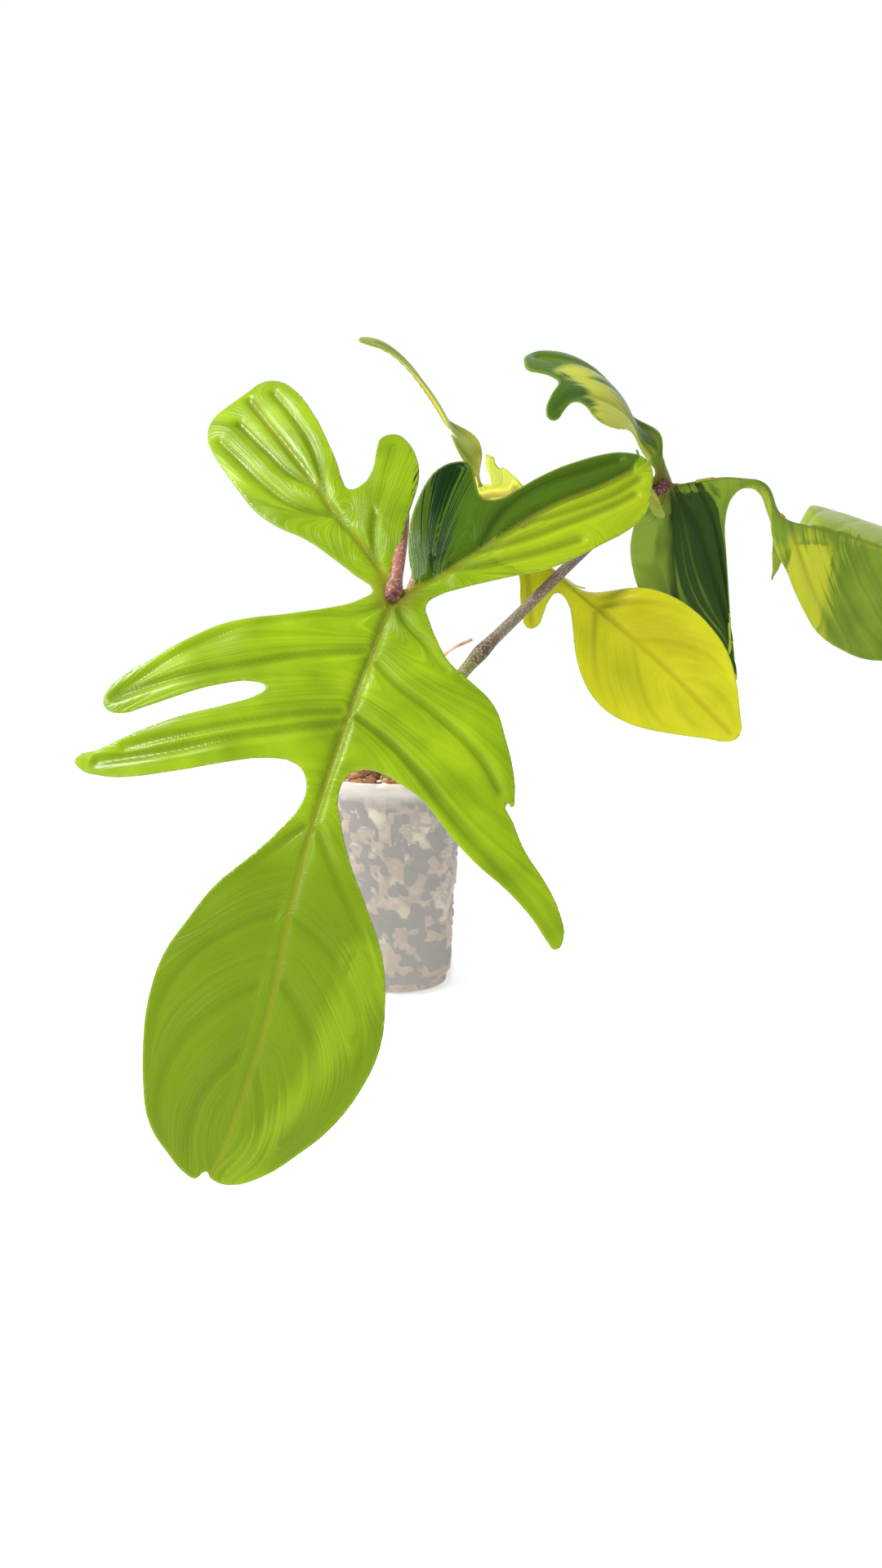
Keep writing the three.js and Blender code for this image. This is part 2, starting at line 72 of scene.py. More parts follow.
def linear(hex_colour):
    """A colour such as #94B52C as linear red, green, blue and alpha."""
    channels = [int(hex_colour[i:i + 2], 16) / 255 for i in (1, 3, 5)]
    return [c / 12.92 if c <= 0.04045 else ((c + 0.055) / 1.055) ** 2.4 for c in channels] + [1.0]


def add_node(material, kind, settings=None, links=None):
    """Adds a shader node. Settings name its properties or its sockets, and links name its sockets."""
    node = material.node_tree.nodes.new(kind)
    for name, value in (settings or {}).items():
        if hasattr(node, str(name)):
            setattr(node, name, value)
        else:
            node.inputs[name].default_value = value
    for name, source in (links or {}).items():
        material.node_tree.links.new(source, node.inputs[name])
    return node


def new_material(name, settings):
    """A material with one Principled shader, whose links finish_material makes."""
    material = bpy.data.materials.new(name)
    material.use_nodes = True
    shader = material.node_tree.nodes["Principled BSDF"]
    for socket, value in settings.items():
        shader.inputs[socket].default_value = value
    return material


def finish_material(material, links):
    """Links node outputs to the material's Principled shader."""
    shader = material.node_tree.nodes["Principled BSDF"]
    for socket, source in links.items():
        material.node_tree.links.new(source, shader.inputs[socket])


def add_piece(name, shape, smooth=True):
    """An object in the scene that takes the mesh of a finished bmesh over."""
    mesh = bpy.data.meshes.new(name)
    shape.to_mesh(mesh)
    shape.free()
    for face in mesh.polygons:
        face.use_smooth = smooth
    piece = bpy.data.objects.new(name, mesh)
    scene.collection.objects.link(piece)
    return piece


table_shape = bmesh.new()
bmesh.ops.create_grid(table_shape, x_segments=1, y_segments=1, size=TABLE_HALF_WIDTH)
table = add_piece("table", table_shape)
# opal acrylic with a matt face, made to glow faintly though it is no lamp: painted light, an even white
# that swallows most shadows
table.data.materials.append(new_material("white table with painted glow", {
    "Base Color": linear("#FBFCFF"), "Roughness": 0.7,
    "Emission Color": linear(PAPER_WHITE), "Emission Strength": 0.42,
}))

daylight = bpy.data.worlds.new("daylight")
daylight.use_nodes = True
backdrop = daylight.node_tree.nodes["Background"]
backdrop.inputs["Color"].default_value = linear(PAPER_WHITE)
# the room is white up to 27 degrees above the level, and dimmer from there to 64 degrees
towards = add_node(daylight, "ShaderNodeTexCoord")
upward = add_node(daylight, "ShaderNodeSeparateXYZ", None, {"Vector": towards.outputs["Generated"]})
room_light = add_node(daylight, "ShaderNodeMapRange", {
    "From Min": 0.46, "From Max": 0.9, "To Min": ROOM_STRENGTH, "To Max": OVERHEAD_STRENGTH,
}, {"Value": upward.outputs["Z"]})
daylight.node_tree.links.new(room_light.outputs["Result"], backdrop.inputs["Strength"])
scene.world = daylight


def add_light(name, place, aim, size, watts):
    """A square soft light at place that shines at aim. Both places and the size are in metres."""
    lamp = bpy.data.lights.new(name, "AREA")
    lamp.size = size
    lamp.energy = watts
    light = bpy.data.objects.new(name, lamp)
    light.location = place
    light.rotation_euler = (Vector(aim) - Vector(place)).to_track_quat("-Z", "Y").to_euler()
    scene.collection.objects.link(light)


add_light("high_softbox_left", (-0.74, -0.3, 1.12), (0, -0.14, 0.2), 0.3, 19)
add_light("window_left", (-1.2, -0.9, 0.8), (0, -0.1, 0.2), 0.6, 5)

# Pot: a small tapered cup, vacuum formed from clear plastic and slightly hazy.
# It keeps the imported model's wall, rim band and drain holes, with its facets smoothed.

WALL_HAZE = 0.17
RIM_HAZE = 0.38
RIM_FOOT = 106  # the rolled rim starts at this height
WELD = 1e-6  # metres within which two corners are one
SHARP = 35  # degrees between two faces from which their edge stays sharp

pot_shape = bmesh.new()
pot_shape.from_mesh(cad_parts["pot"].data)
bmesh.ops.remove_doubles(pot_shape, verts=pot_shape.verts, dist=WELD)
pot = add_piece("clear_pot", pot_shape)
pot.data.set_sharp_from_angle(angle=math.radians(SHARP))

# PET sheet, vacuum formed: glossy and clear with a milky haze, thicker in the rolled rim, so that the
# mix shows pale through the wall and the rim reads as a white band
pot_plastic = new_material("hazy clear PET", {
    "Base Color": linear("#EAE2DA"), "Roughness": 0.22, "IOR": 1.57,
})
places = add_node(pot_plastic, "ShaderNodeTexCoord")
height = add_node(pot_plastic, "ShaderNodeSeparateXYZ", None, {"Vector": places.outputs["Object"]})
haze = add_node(pot_plastic, "ShaderNodeMapRange", {
    "From Min": RIM_FOOT * MM, "From Max": (RIM_FOOT + 5) * MM, "To Min": WALL_HAZE, "To Max": RIM_HAZE,
}, {"Value": height.outputs["Z"]})
finish_material(pot_plastic, {"Alpha": haze.outputs["Result"]})
pot.data.materials.append(pot_plastic)
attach(pot, "root")
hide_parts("pot")

# Potting mix: bark chips, pumice and dry moss that press against the clear wall.
# A flared body built here fills the pot in place of the imported one, and each chip shows as a lump with
# its own colour.

MIX_FOOT = 1.6
MIX_TOP = 113.0
MIX_FOOT_RADIUS = 28.2
MIX_TOP_RADIUS = 38.0
FOOT_CURVE = 0.03  # share of the height in which the foot rounds up to the wall
WALL_START = 0.22  # share of the flare that the round foot takes
CAP_RINGS = (0.93, 0.8, 0.66, 0.5, 0.34, 0.18, 0.06)  # shares of the radius, from the wall in
LUMP = 7.0  # width of a common chip
LUMP_FLATNESS = 1.25  # how much flatter than wide a chip lies
LUMP_WARP = 0.35  # how far a chip's outline strays, as a share of its width
WARP_SEED = 5
SEAM_DEPTH = 2.2
SEAM_WIDTH = 1.6
GRIT_DEPTH = 0.9

mix_shape = bmesh.new()
bmesh.ops.create_cone(mix_shape, cap_ends=True, segments=160, radius1=1, radius2=1, depth=1)
bmesh.ops.delete(mix_shape, geom=[f for f in mix_shape.faces if len(f.verts) > 4], context="FACES_ONLY")
side_edges = [e for e in mix_shape.edges if abs(e.verts[0].co.z - e.verts[1].co.z) > 0.5]
bmesh.ops.subdivide_edges(mix_shape, edges=side_edges, cuts=70, use_grid_fill=True)
top_rim = [e for e in mix_shape.edges if all(v.co.z > 0.499 for v in e.verts)]
foot_rim = [e for e in mix_shape.edges if all(v.co.z < -0.499 for v in e.verts)]
for rim in (top_rim, foot_rim):
    for share in CAP_RINGS:
        ring = bmesh.ops.extrude_edge_only(mix_shape, edges=rim)["geom"]
        for v in (g for g in ring if isinstance(g, bmesh.types.BMVert)):
            v.co.xy = v.co.xy.normalized() * share
        rim = [g for g in ring if isinstance(g, bmesh.types.BMEdge)]
    bmesh.ops.edgeloop_fill(mix_shape, edges=rim)
for v in mix_shape.verts:
    height = v.co.z + 0.5
    flare = WALL_START + (1 - WALL_START) * height if height > FOOT_CURVE else 0
    radius = MIX_FOOT_RADIUS + (MIX_TOP_RADIUS - MIX_FOOT_RADIUS) * flare
    v.co = Vector((v.co.x * radius, v.co.y * radius, MIX_FOOT + (MIX_TOP - MIX_FOOT) * height))
bmesh.ops.recalc_face_normals(mix_shape, faces=mix_shape.faces)
mix = add_piece("bark_mix", mix_shape)

# each place belongs to the chip whose middle is nearest, and sinks where two chips are as near
lump_tone = mix.data.attributes.new("tone", "FLOAT", "POINT")
lump_seam = mix.data.attributes.new("seam", "FLOAT", "POINT")
noise.seed_set(WARP_SEED)  # without it the noise that warps the chips differs from run to run
for i, v in enumerate(mix.data.vertices):
    place = Vector((v.co.x, v.co.y, v.co.z * LUMP_FLATNESS)) / LUMP
    place += LUMP_WARP * noise.noise_vector(place * 1.7)
    (near, second, _, _), middles = noise.voronoi(place)
    from_seam = (second - near) * LUMP
    lump_tone.data[i].value = noise.cell(middles[0] * 7.3)
    lump_seam.data[i].value = from_seam
    sink = SEAM_DEPTH * math.exp(-((from_seam / SEAM_WIDTH) ** 2))
    sink += GRIT_DEPTH * abs(noise.noise(place * 3))
    if v.co.z > MIX_TOP - 1:
        v.co.z -= sink
    elif MIX_FOOT + 1 < v.co.z < MIX_TOP - 1:
        v.co -= Vector((v.co.x, v.co.y, 0)).normalized() * sink
    v.co *= MM


def kept_value(material, name):
    """The output of a number that the mesh keeps for each of its points."""
    return add_node(material, "ShaderNodeAttribute", {"attribute_name": name}).outputs["Fac"]


def even_noise(material, scale, detail):
    """The output of a noise over the piece's own space, with patches 1 / scale metres wide."""
    places = add_node(material, "ShaderNodeTexCoord")
    return add_node(material, "ShaderNodeTexNoise", {"Scale": scale, "Detail": detail},
                    {"Vector": places.outputs["Object"]}).outputs["Fac"]


def tone_ramp(material, source, tones, interpolation="LINEAR"):
    """The colour output for a value from 0 to 1, by a rising list of values and their colours."""
    ramp = add_node(material, "ShaderNodeValToRGB", None, {"Fac": source})
    ramp.color_ramp.interpolation = interpolation
    for value, _ in tones[1:-1]:
        ramp.color_ramp.elements.new(value)
    for stop, (value, colour) in zip(ramp.color_ramp.elements, tones):
        stop.position = value
        stop.color = linear(colour)
    return ramp.outputs["Color"]


def finish_rough(material, colour, height, strength, depth, invert=False):
    """Gives the material its colour, and a bump of up to so many metres that follows a height."""
    bump = add_node(material, "ShaderNodeBump",
                    {"Strength": strength, "Distance": depth, "invert": invert}, {"Height": height})
    finish_material(material, {"Base Color": colour, "Normal": bump.outputs["Normal"]})


# composted pine bark, crushed pumice and dry moss: dull browns and a few pale lumps, with painted shade
# in the seams between them; about half of the lumps are damp and black, as a lump's tone runs from -1 to
# 1 and the ramp from 0;
# the grit is 1.1 mm wide, and the bark's fibres and the pumice's holes look alike at this size
mix_material = new_material("bark, pumice and moss", {"Roughness": 0.9})
grit = even_noise(mix_material, 900, 6)
kinds = tone_ramp(mix_material, kept_value(mix_material, "tone"), [
    (0, "#000000"), (0.001, "#86694F"), (0.22, "#A48D70"), (0.4, "#806350"), (0.55, "#967B5F"),
    (0.7, "#BAAC94"), (0.86, "#8C6E50"),
], "CONSTANT")
# painted shade: the colour darkens to 60 % within 1.8 mm of a seam between lumps
seam_shade = add_node(mix_material, "ShaderNodeMapRange",
                     {"From Min": 0.0, "From Max": 1.8, "To Min": 0.6},
                     {"Value": kept_value(mix_material, "seam")})
grain = add_node(mix_material, "ShaderNodeMapRange", {"To Min": 0.75, "To Max": 1.2}, {"Value": grit})
shade = add_node(mix_material, "ShaderNodeMath", {"operation": "MULTIPLY"},
                 {0: seam_shade.outputs["Result"], 1: grain.outputs["Result"]})
mix_colour = add_node(mix_material, "ShaderNodeVectorMath", {"operation": "SCALE"},
                      {0: kinds, "Scale": shade.outputs["Value"]})
finish_rough(mix_material, mix_colour.outputs["Vector"], grit, 0.7, 0.0006)
mix.data.materials.append(mix_material)
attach(mix, "root")
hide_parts("potting_mix")

# Loose chips: bark and pumice that lie on top of the mix, inside the rim and round the stem.
# Each is a broken lump with flat faces, laid nearly level.

CHIPS = 190
CHIP_HALF_LENGTHS = (2, 5.5)
CHIP_HALF_WIDTHS = (1.8, 3.6)
CHIP_HALF_HEIGHTS = (1.2, 2.4)
CHIP_ROUGHNESS = 0.28  # how far a broken face departs from a round one, as a share of its size
CLEAR_OF_STEM = 9.5
CHIP_REACH = 24  # how far past that the outermost chip lies
CHIP_STEP_ROUND = 2.4  # radians from one chip to the next, which spreads them evenly

chip_draw = random.Random(5)
chip_shape = bmesh.new()
for n in range(CHIPS):
    lump = bmesh.ops.create_icosphere(chip_shape, subdivisions=2, radius=1)["verts"]
    halves = (CHIP_HALF_LENGTHS, CHIP_HALF_WIDTHS, CHIP_HALF_HEIGHTS)
    size = Vector([chip_draw.uniform(*half) for half in halves])
    turn = chip_draw.uniform(0, math.tau)
    out = CLEAR_OF_STEM + CHIP_REACH * chip_draw.random() ** 0.6
    where = Vector((out * math.cos(n * CHIP_STEP_ROUND), out * math.sin(n * CHIP_STEP_ROUND),
                    MIX_TOP + chip_draw.uniform(-0.5, 2.6)))
    bmesh.ops.scale(chip_shape, vec=size, verts=lump)
    for v in lump:
        v.co *= 1 + CHIP_ROUGHNESS * noise.noise(v.co * 0.5 + Vector((n, 0, 0)))
    roll = Vector((1, chip_draw.uniform(-0.4, 0.4), 0))
    lie = Vector((math.cos(turn), math.sin(turn), chip_draw.uniform(-0.3, 0.3)))
    for long_side in (roll, lie):
        bmesh.ops.rotate(chip_shape, cent=(0, 0, 0), verts=lump,
                         matrix=long_side.to_track_quat("X", "Z").to_matrix())
    bmesh.ops.translate(chip_shape, vec=where, verts=lump)
bmesh.ops.scale(chip_shape, vec=(MM, MM, MM), verts=chip_shape.verts)
chips = add_piece("bark_chips", chip_shape, smooth=False)
chip_tone = chips.data.attributes.new("tone", "FLOAT", "POINT")
verts_each = len(chips.data.vertices) // CHIPS
for n in range(CHIPS):
    own_tone = chip_draw.random()
    for i in range(n * verts_each, (n + 1) * verts_each):
        chip_tone.data[i].value = own_tone

# broken pine bark and pumice: warm brown and off-white, dry and dull, with grit 1.4 mm wide; a chip
# or two with the lowest tones is charred black
chip_material = new_material("bark and pumice chips", {"Roughness": 0.92})
grit = even_noise(chip_material, 700, 6)
kinds = tone_ramp(chip_material, kept_value(chip_material, "tone"), [
    (0, "#000000"), (0.001, "#8A5B3A"), (0.3, "#B98A5E"), (0.45, "#6B4128"), (0.65, "#D6CFC4"),
    (0.85, "#A06A3E"),
], "CONSTANT")
grain = add_node(chip_material, "ShaderNodeMapRange", {"To Min": 0.6, "To Max": 1.3}, {"Value": grit})
chip_colour = add_node(chip_material, "ShaderNodeVectorMath", {"operation": "SCALE"},
                       {0: kinds, "Scale": grain.outputs["Result"]})
finish_rough(chip_material, chip_colour.outputs["Vector"], grit, 0.8, 0.0005)
chips.data.materials.append(chip_material)
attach(chips, "root")

# Stem: short, upright and green, ringed where old leaves fell.
# It is spun from its outline, and fine cracks show on its skin.

STEM_PROFILE = [
    # radius and height, from the foot in the mix to the tip
    (0, 74), (5.4, 74), (7, 104), (7.8, 108), (7.1, 110), (6.9, 115), (7.8, 117), (7.1, 119),
    (6.9, 124), (7.8, 126), (7.1, 128), (6.6, 132), (5.6, 134.4), (3.5, 135.8), (0, 136),
]
stem_shape = bmesh.new()
stem_line = [stem_shape.verts.new((r * MM, 0, z * MM)) for r, z in STEM_PROFILE]
stem_edges = [stem_shape.edges.new(pair) for pair in zip(stem_line, stem_line[1:])]
bmesh.ops.spin(stem_shape, geom=stem_line + stem_edges, cent=(0, 0, 0), axis=(0, 0, 1), angle=math.tau,
               steps=48, use_merge=True)
bmesh.ops.remove_doubles(stem_shape, verts=stem_shape.verts, dist=WELD)
bmesh.ops.recalc_face_normals(stem_shape, faces=stem_shape.faces)
stem = add_piece("short_stem", stem_shape)

# living bark that has just turned corky: dull olive, with paler cracks about 4 mm apart
stem_material = new_material("corky green stem", {"Roughness": 0.7})
cork = even_noise(stem_material, 260, 5)
stem_tones = tone_ramp(stem_material, cork, [(0, "#5A5A2C"), (1, "#98974F")])
finish_rough(stem_material, stem_tones, cork, 0.5, 0.0004)
stem.data.materials.append(stem_material)
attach(stem, "root")
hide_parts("stem")

# Leaf stalks: round and covered with fine corky warts, green at the stem and red brown above. Each leaves
# the stem, arches over and meets its blade's lower side just past the notch, in a dark red swollen knot.
# So the way the blades bend is given here, and the blades' sections use it again.

SPINE_STEP = 2
SPINE_STEPS = 150  # each way from the stalk, which is more than the longest blade needs


def eased(pairs, along):
    """The value at a place on the midrib, from a list of places and values with soft steps between."""
    if along <= pairs[0][0]:
        return pairs[0][1]
    for (start, first), (end, last) in zip(pairs, pairs[1:]):
        if along <= end:
            share = (along - start) / (end - start)
            return first + (last - first) * share * share * (3 - 2 * share)
    return pairs[-1][1]


class Bend:
    """How a flat blade is bent: the midrib's compass heading and dip, how far each half stands above the
    level, and how many degrees a half curls down for each millimetre of its width. Sway is how far the
    midrib swings aside halfway. Each angle is a list of places on the midrib and degrees."""

    def __init__(self, base, length, heading, dip, left, right, curl, sway=0):
        self.length, self.heading, self.dip = length, heading, dip
        self.left, self.right, self.curl, self.sway = left, right, curl, sway
        self.spine = {0: Vector(base)}
        for i in range(SPINE_STEPS):
            halfway = (i + 0.5) * SPINE_STEP
            self.spine[i + 1] = self.spine[i] + SPINE_STEP * self.forward(halfway)
            self.spine[-i - 1] = self.spine[-i] - SPINE_STEP * self.forward(-halfway)

    def forward(self, along):
        """The way that the midrib runs at a place along it."""
        turn, dip = math.radians(eased(self.heading, along)), math.radians(eased(self.dip, along))
        return Vector((math.cos(turn) * math.cos(dip), math.sin(turn) * math.cos(dip), -math.sin(dip)))

    def middle(self, along, across):
        """Where a flat place comes to lie, in the middle of the sheet."""
        turn, dip = math.radians(eased(self.heading, along)), math.radians(eased(self.dip, along))
        side = Vector((-math.sin(turn), math.cos(turn), 0))
        up = Vector((math.cos(turn) * math.sin(dip), math.sin(turn) * math.sin(dip), math.cos(dip)))
        rise = math.radians(eased(self.right if across > 0 else self.left, along))
        curl = math.radians(self.curl[across > 0])
        end = rise - curl * abs(across)
        out = (math.sin(rise) - math.sin(end)) / curl
        lift = (math.cos(end) - math.cos(rise)) / curl
        drift = self.sway * math.sin(math.pi * min(max(along / self.length, 0), 1))
        step = math.floor(along / SPINE_STEP)
        centre = self.spine[step].lerp(self.spine[step + 1], along / SPINE_STEP - step)
        return centre + side * ((out if across > 0 else -out) + drift) + up * lift

    def place(self, along, across, offset):
        """The same, so far above the sheet's middle."""
        down = self.middle(along + 0.5, across) - self.middle(along - 0.5, across)
        over = self.middle(along, across + 0.5) - self.middle(along, across - 0.5)
        return self.middle(along, across) + down.cross(over).normalized() * offset


front_bend = Bend(base=(7, -150, 212), length=235, heading=[(0, -123)],
                  dip=[(-120, 44), (0, 49), (240, 73)],
                  left=[(0, 31)], right=[(0, -21)], curl=(0.15, 0.15), sway=5)
rear_bend = Bend(base=(48, 32, 270.3), length=209, heading=[(0, 48), (100, -18)],
                 dip=[(-75, -14), (-25, 44), (0, 40), (240, 41)],
                 left=[(20, -22), (50, -66), (110, -84)],
                 right=[(-60, 66), (-30, 58), (-12, 84), (2, 56), (50, 14), (78, 8), (116, 84)],
                 curl=(0.12, 0.4))
side_bend = Bend(base=(154.4, 75, 280.5), length=238, heading=[(-25, 52), (15, 8)],
                 dip=[(-70, -50), (-45, -10), (-25, 52), (-6, 34), (6, 0), (18, -14), (56, 4), (80, 66),
                      (102, 14), (235, 18)],
                 left=[(-30, -60), (0, -80)],
                 right=[(-50, 64), (-30, 72), (-12, 100), (2, 84), (20, -50), (102, -50), (118, 40)],
                 curl=(0.1, 0.55))


def smooth_line(points, closed=False, steps=6):
    """Points along a smooth curve through the given points."""
    curve = bpy.data.curves.new("guide", "CURVE")
    curve.dimensions = "3D"
    curve.resolution_u = steps
    spline = curve.splines.new("BEZIER")
    spline.use_cyclic_u = closed
    spline.bezier_points.add(len(points) - 1)
    for knot, point in zip(spline.bezier_points, points):
        knot.co = Vector((*point, 0)[:3])
        knot.handle_left_type = knot.handle_right_type = "AUTO"
    guide = bpy.data.objects.new("guide", curve)
    scene.collection.objects.link(guide)
    bpy.context.view_layer.update()
    line = [v.co.copy() for v in guide.to_mesh().vertices]
    bpy.data.objects.remove(guide)
    bpy.data.curves.remove(curve)
    return line


STALK_SIDES = 24
TAPER_SHARE = 1.4  # the taper is over by one part in 1.4 of the way
KNUCKLE_SWELL = 1.0
KNUCKLE_SPREAD = 0.03  # share of the way
KNOT_BEFORE_END = 5
KNOT_SPREAD = 4.5


def make_stalk(name, node, points, foot_radius, head_radius, knuckle=None, knot=0.9):
    """A tapering stalk through the points, in millimetres. A knuckle is a short swelling on the way, and
    the knot swells its head. Its mesh keeps the share of the way that each point has come."""
    line = smooth_line(points, steps=14)
    lengths = [0.0]
    for near, far in zip(line, line[1:]):
        lengths.append(lengths[-1] + (far - near).length)
    shape = bmesh.new()
    ring = None
    shares = []
    for i, centre in enumerate(line):
        ahead = (line[min(i + 1, len(line) - 1)] - line[max(i - 1, 0)]).normalized()
        share = lengths[i] / lengths[-1]
        radius = foot_radius + (head_radius - foot_radius) * min(1, share * TAPER_SHARE)
        radius += knot * math.exp(-(((lengths[-1] - lengths[i] - KNOT_BEFORE_END) / KNOT_SPREAD) ** 2))
        if knuckle:
            radius += KNUCKLE_SWELL * math.exp(-(((share - knuckle) / KNUCKLE_SPREAD) ** 2))
        turn = ahead.to_track_quat("Z", "Y").to_matrix().to_4x4()
        turn.translation = centre
        loop = bmesh.ops.create_circle(shape, segments=STALK_SIDES, radius=radius, matrix=turn)["verts"]
        shares += [share] * len(loop)
        # each edge of the ring once, in an order that is the same each run
        edges = list(dict.fromkeys(e for v in loop for e in v.link_edges if e.other_vert(v) in loop))
        if ring:
            bmesh.ops.bridge_loops(shape, edges=ring + edges)
        else:
            bmesh.ops.edgeloop_fill(shape, edges=edges)
        ring = edges
    bmesh.ops.edgeloop_fill(shape, edges=ring)
    bmesh.ops.recalc_face_normals(shape, faces=shape.faces)
    bmesh.ops.scale(shape, vec=(MM, MM, MM), verts=shape.verts)
    stalk = add_piece(name, shape)
    stalk.data.attributes.new("share", "FLOAT", "POINT").data.foreach_set("value", shares)
    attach(stalk, "root")
    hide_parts(node)
    return stalk


def stalk_material(name, tones):
    """Living stalk: a dull skin whose colour changes along it and in patches of 6 mm, under pale corky
    warts that make it look sanded. The warts are drawn 1.5 mm apart, twice as coarse as the real ones,
    so that they show."""
    material = new_material(name, {"Roughness": 0.55, "Specular IOR Level": 0.35})
    drift = add_node(material, "ShaderNodeMapRange", {"To Min": -0.06, "To Max": 0.06},
                     {"Value": even_noise(material, 160, 3)})
    way = add_node(material, "ShaderNodeMath", {"operation": "ADD"},
                   {0: kept_value(material, "share"), 1: drift.outputs["Result"]})
    places = add_node(material, "ShaderNodeTexCoord")
    warts = add_node(material, "ShaderNodeTexVoronoi", {"Scale": 650},
                     {"Vector": places.outputs["Object"]})
    spots = add_node(material, "ShaderNodeMapRange",
                     {"From Min": 0.15, "From Max": 0.5, "To Min": 0.35, "To Max": 0.0},
                     {"Value": warts.outputs["Distance"]})
    colour = add_node(material, "ShaderNodeMix", {"data_type": "RGBA", "B": linear("#C9B8A0")},
                      {"Factor": spots.outputs["Result"],
                       "A": tone_ramp(material, way.outputs["Value"], tones)})
    finish_rough(material, colour.outputs["Result"], warts.outputs["Distance"], 0.6, 0.0004, invert=True)
    return material


front_stalk = make_stalk("front_stalk", "petiole_front", [
    (-2, -3, 119), (-3, -11, 134), (-2, -22, 172), (1, -38, 212), (5, -62, 240), (8, -92, 249),
    (9, -120, 241), (8, -139, 226), front_bend.place(5, 0, -0.5),
], 4.2, 2.7, knot=1.2)
front_stalk.data.materials.append(stalk_material("pink-brown warty stalk", [
    (0, "#5F6B2A"), (0.25, "#74523A"), (0.6, "#8A5644"), (0.965, "#885444"), (1, "#4E1C14"),
]))
rear_stalk = make_stalk("rear_stalk", "petiole_rear", [
    (-2, 3, 122), (-3, 10, 138), (-1, 14, 175), (6, 19, 208), (19, 24, 238), (36, 29, 259),
    rear_bend.place(5, 0, -0.5),
], 4.0, 2.6)
rear_stalk.data.materials.append(stalk_material("red-brown warty stalk", [
    (0, "#6A6A34"), (0.3, "#7E6048"), (0.7, "#8E5F50"), (0.95, "#6E3A30"), (1, "#5A1E18"),
]))
right_stalk = make_stalk("right_stalk", "petiole_right", [
    (3, 1, 124), (12, 4, 136), (39, 14, 173), (72, 27, 206), (107, 46, 239), (136, 63, 264),
    side_bend.place(5, 0, -0.5),
], 3.8, 2.9, knuckle=0.32)
right_stalk.data.materials.append(stalk_material("grey-olive warty stalk", [
    (0, "#68702E"), (0.27, "#6A6C36"), (0.32, "#4C3026"), (0.38, "#6C6650"), (0.7, "#625048"),
    (0.88, "#4C2828"), (1, "#4A1A18"),
]))

# Sheath: the dry, papery wrap of the youngest leaf, which curls away from the stem's tip.
# It is thin and split, and pale peach where the light comes through.

sheath = make_stalk("papery_sheath", "leaf_sheath", [
    (1, 0, 134), (4, -1, 141), (9, -3, 156), (18, -4, 172), (30, -4, 184), (42, -3, 190),
], 3.6, 0.9, knot=0)
# dead leaf tissue, dried on the plant: matt peach with browner fibres about 8 mm apart
sheath_material = new_material("dry papery sheath", {"Roughness": 0.75, "Specular IOR Level": 0.3})
fibres = even_noise(sheath_material, 120, 4)
sheath_tones = tone_ramp(sheath_material, fibres, [(0.35, "#A97661"), (0.65, "#D9B29E")])
finish_rough(sheath_material, sheath_tones, fibres, 0.5, 0.0005)
sheath.data.materials.append(sheath_material)

# Leaf blades: each is one thin leathery sheet, cut into lobes, with sunken veins on its upper side and
# raised ones below. A blade is drawn flat, in millimetres along and across its midrib, cut into small
# cells, and then bent the way the real one hangs.

BLADE_THICKNESS = 0.7
RIB_THICKNESS = 2.4
RIB_SPREAD = 1.6
CELL = 1.15
VEIN_DEPTH = 1.45
VALLEYS = ((0.75, 2.8), (0.4, 1.5))  # a vein's profile: the share of its depth and how far it spreads
BULGE = 0.4  # how high the sheet stands between two veins, as a share of their depth
CREASE_FADE = 8  # a crease dies this far from the margin, and a valley a little nearer
VALLEY_FADE = 5
SMOOTHER_CREASES = 0.6  # the shares of its creases and valleys that the end lobe lacks
SMOOTHER_VALLEYS = 0.78
CALM_LOSS = 0.8
CALM_FADE = 4
CREASE_CORE = 0.7  # up to here from its line a crease is at its darkest
CREASE_SPREAD = 0.9
RIPPLE = 0.7  # how far the sheet waves up and down
RIPPLE_LENGTH = 20
END_LOBE = [(90, 0), (135, 1)]  # where along the midrib the end lobe takes over
DOT_SPACING = 0.5


def line_tree(lines, closed=False):
    """A tree of dots along smooth lines, to find the nearest one fast."""
    dots = []
    for line in lines:
        smooth = smooth_line(line, closed)
        if closed:
            smooth.append(smooth[0])
        for near, far in zip(smooth, smooth[1:]):
            count = max(1, round((far - near).length / DOT_SPACING))
            dots += [near.lerp(far, n / count) for n in range(count)]
    tree = KDTree(len(dots))
    for i, dot in enumerate(dots):
        tree.insert(dot, i)
    tree.balance()
    return tree


def inside(outline, along, across):
    """Whether a flat place lies inside a flat outline."""
    found = False
    for (u0, v0), (u1, v1) in zip(outline, outline[1:] + outline[:1]):
        if (v0 > across) != (v1 > across) and along < u0 + (across - v0) * (u1 - u0) / (v1 - v0):
            found = not found
    return found


def rib_weight(distance, along, length, rib_height):
    """The share of the ribs' thickness that the sheet has at a place. Ribs thin out towards the tip."""
    thin = BLADE_THICKNESS / RIB_THICKNESS
    swell = rib_height * math.exp(-((distance / RIB_SPREAD) ** 2)) * max(0.15, 1 - abs(along) / length)
    return thin + (1 - thin) * swell


class Strands:
    """The fine strands of one half of a blade. They run side by side with its veins, which are listed in
    their order round the leaf, so a place between two veins counts as so many millimetres on from one."""

    def __init__(self, veins):
        self.trees = [line_tree([vein]) for vein in veins]
        middles = [Vector((*vein[len(vein) // 2], 0)) for vein in veins]
        self.counts = [0.0]
        for near, far in zip(middles, middles[1:]):
            self.counts.append(self.counts[-1] + (far - near).length)

    def read(self, place):
        """How far the nearest vein is from a place, and the strand count there."""
        far = [tree.find(place)[2] for tree in self.trees]
        weights = [1 / (distance + 0.2) ** 1.7 for distance in far]
        return min(far), sum(w * n for w, n in zip(weights, self.counts)) / sum(weights)


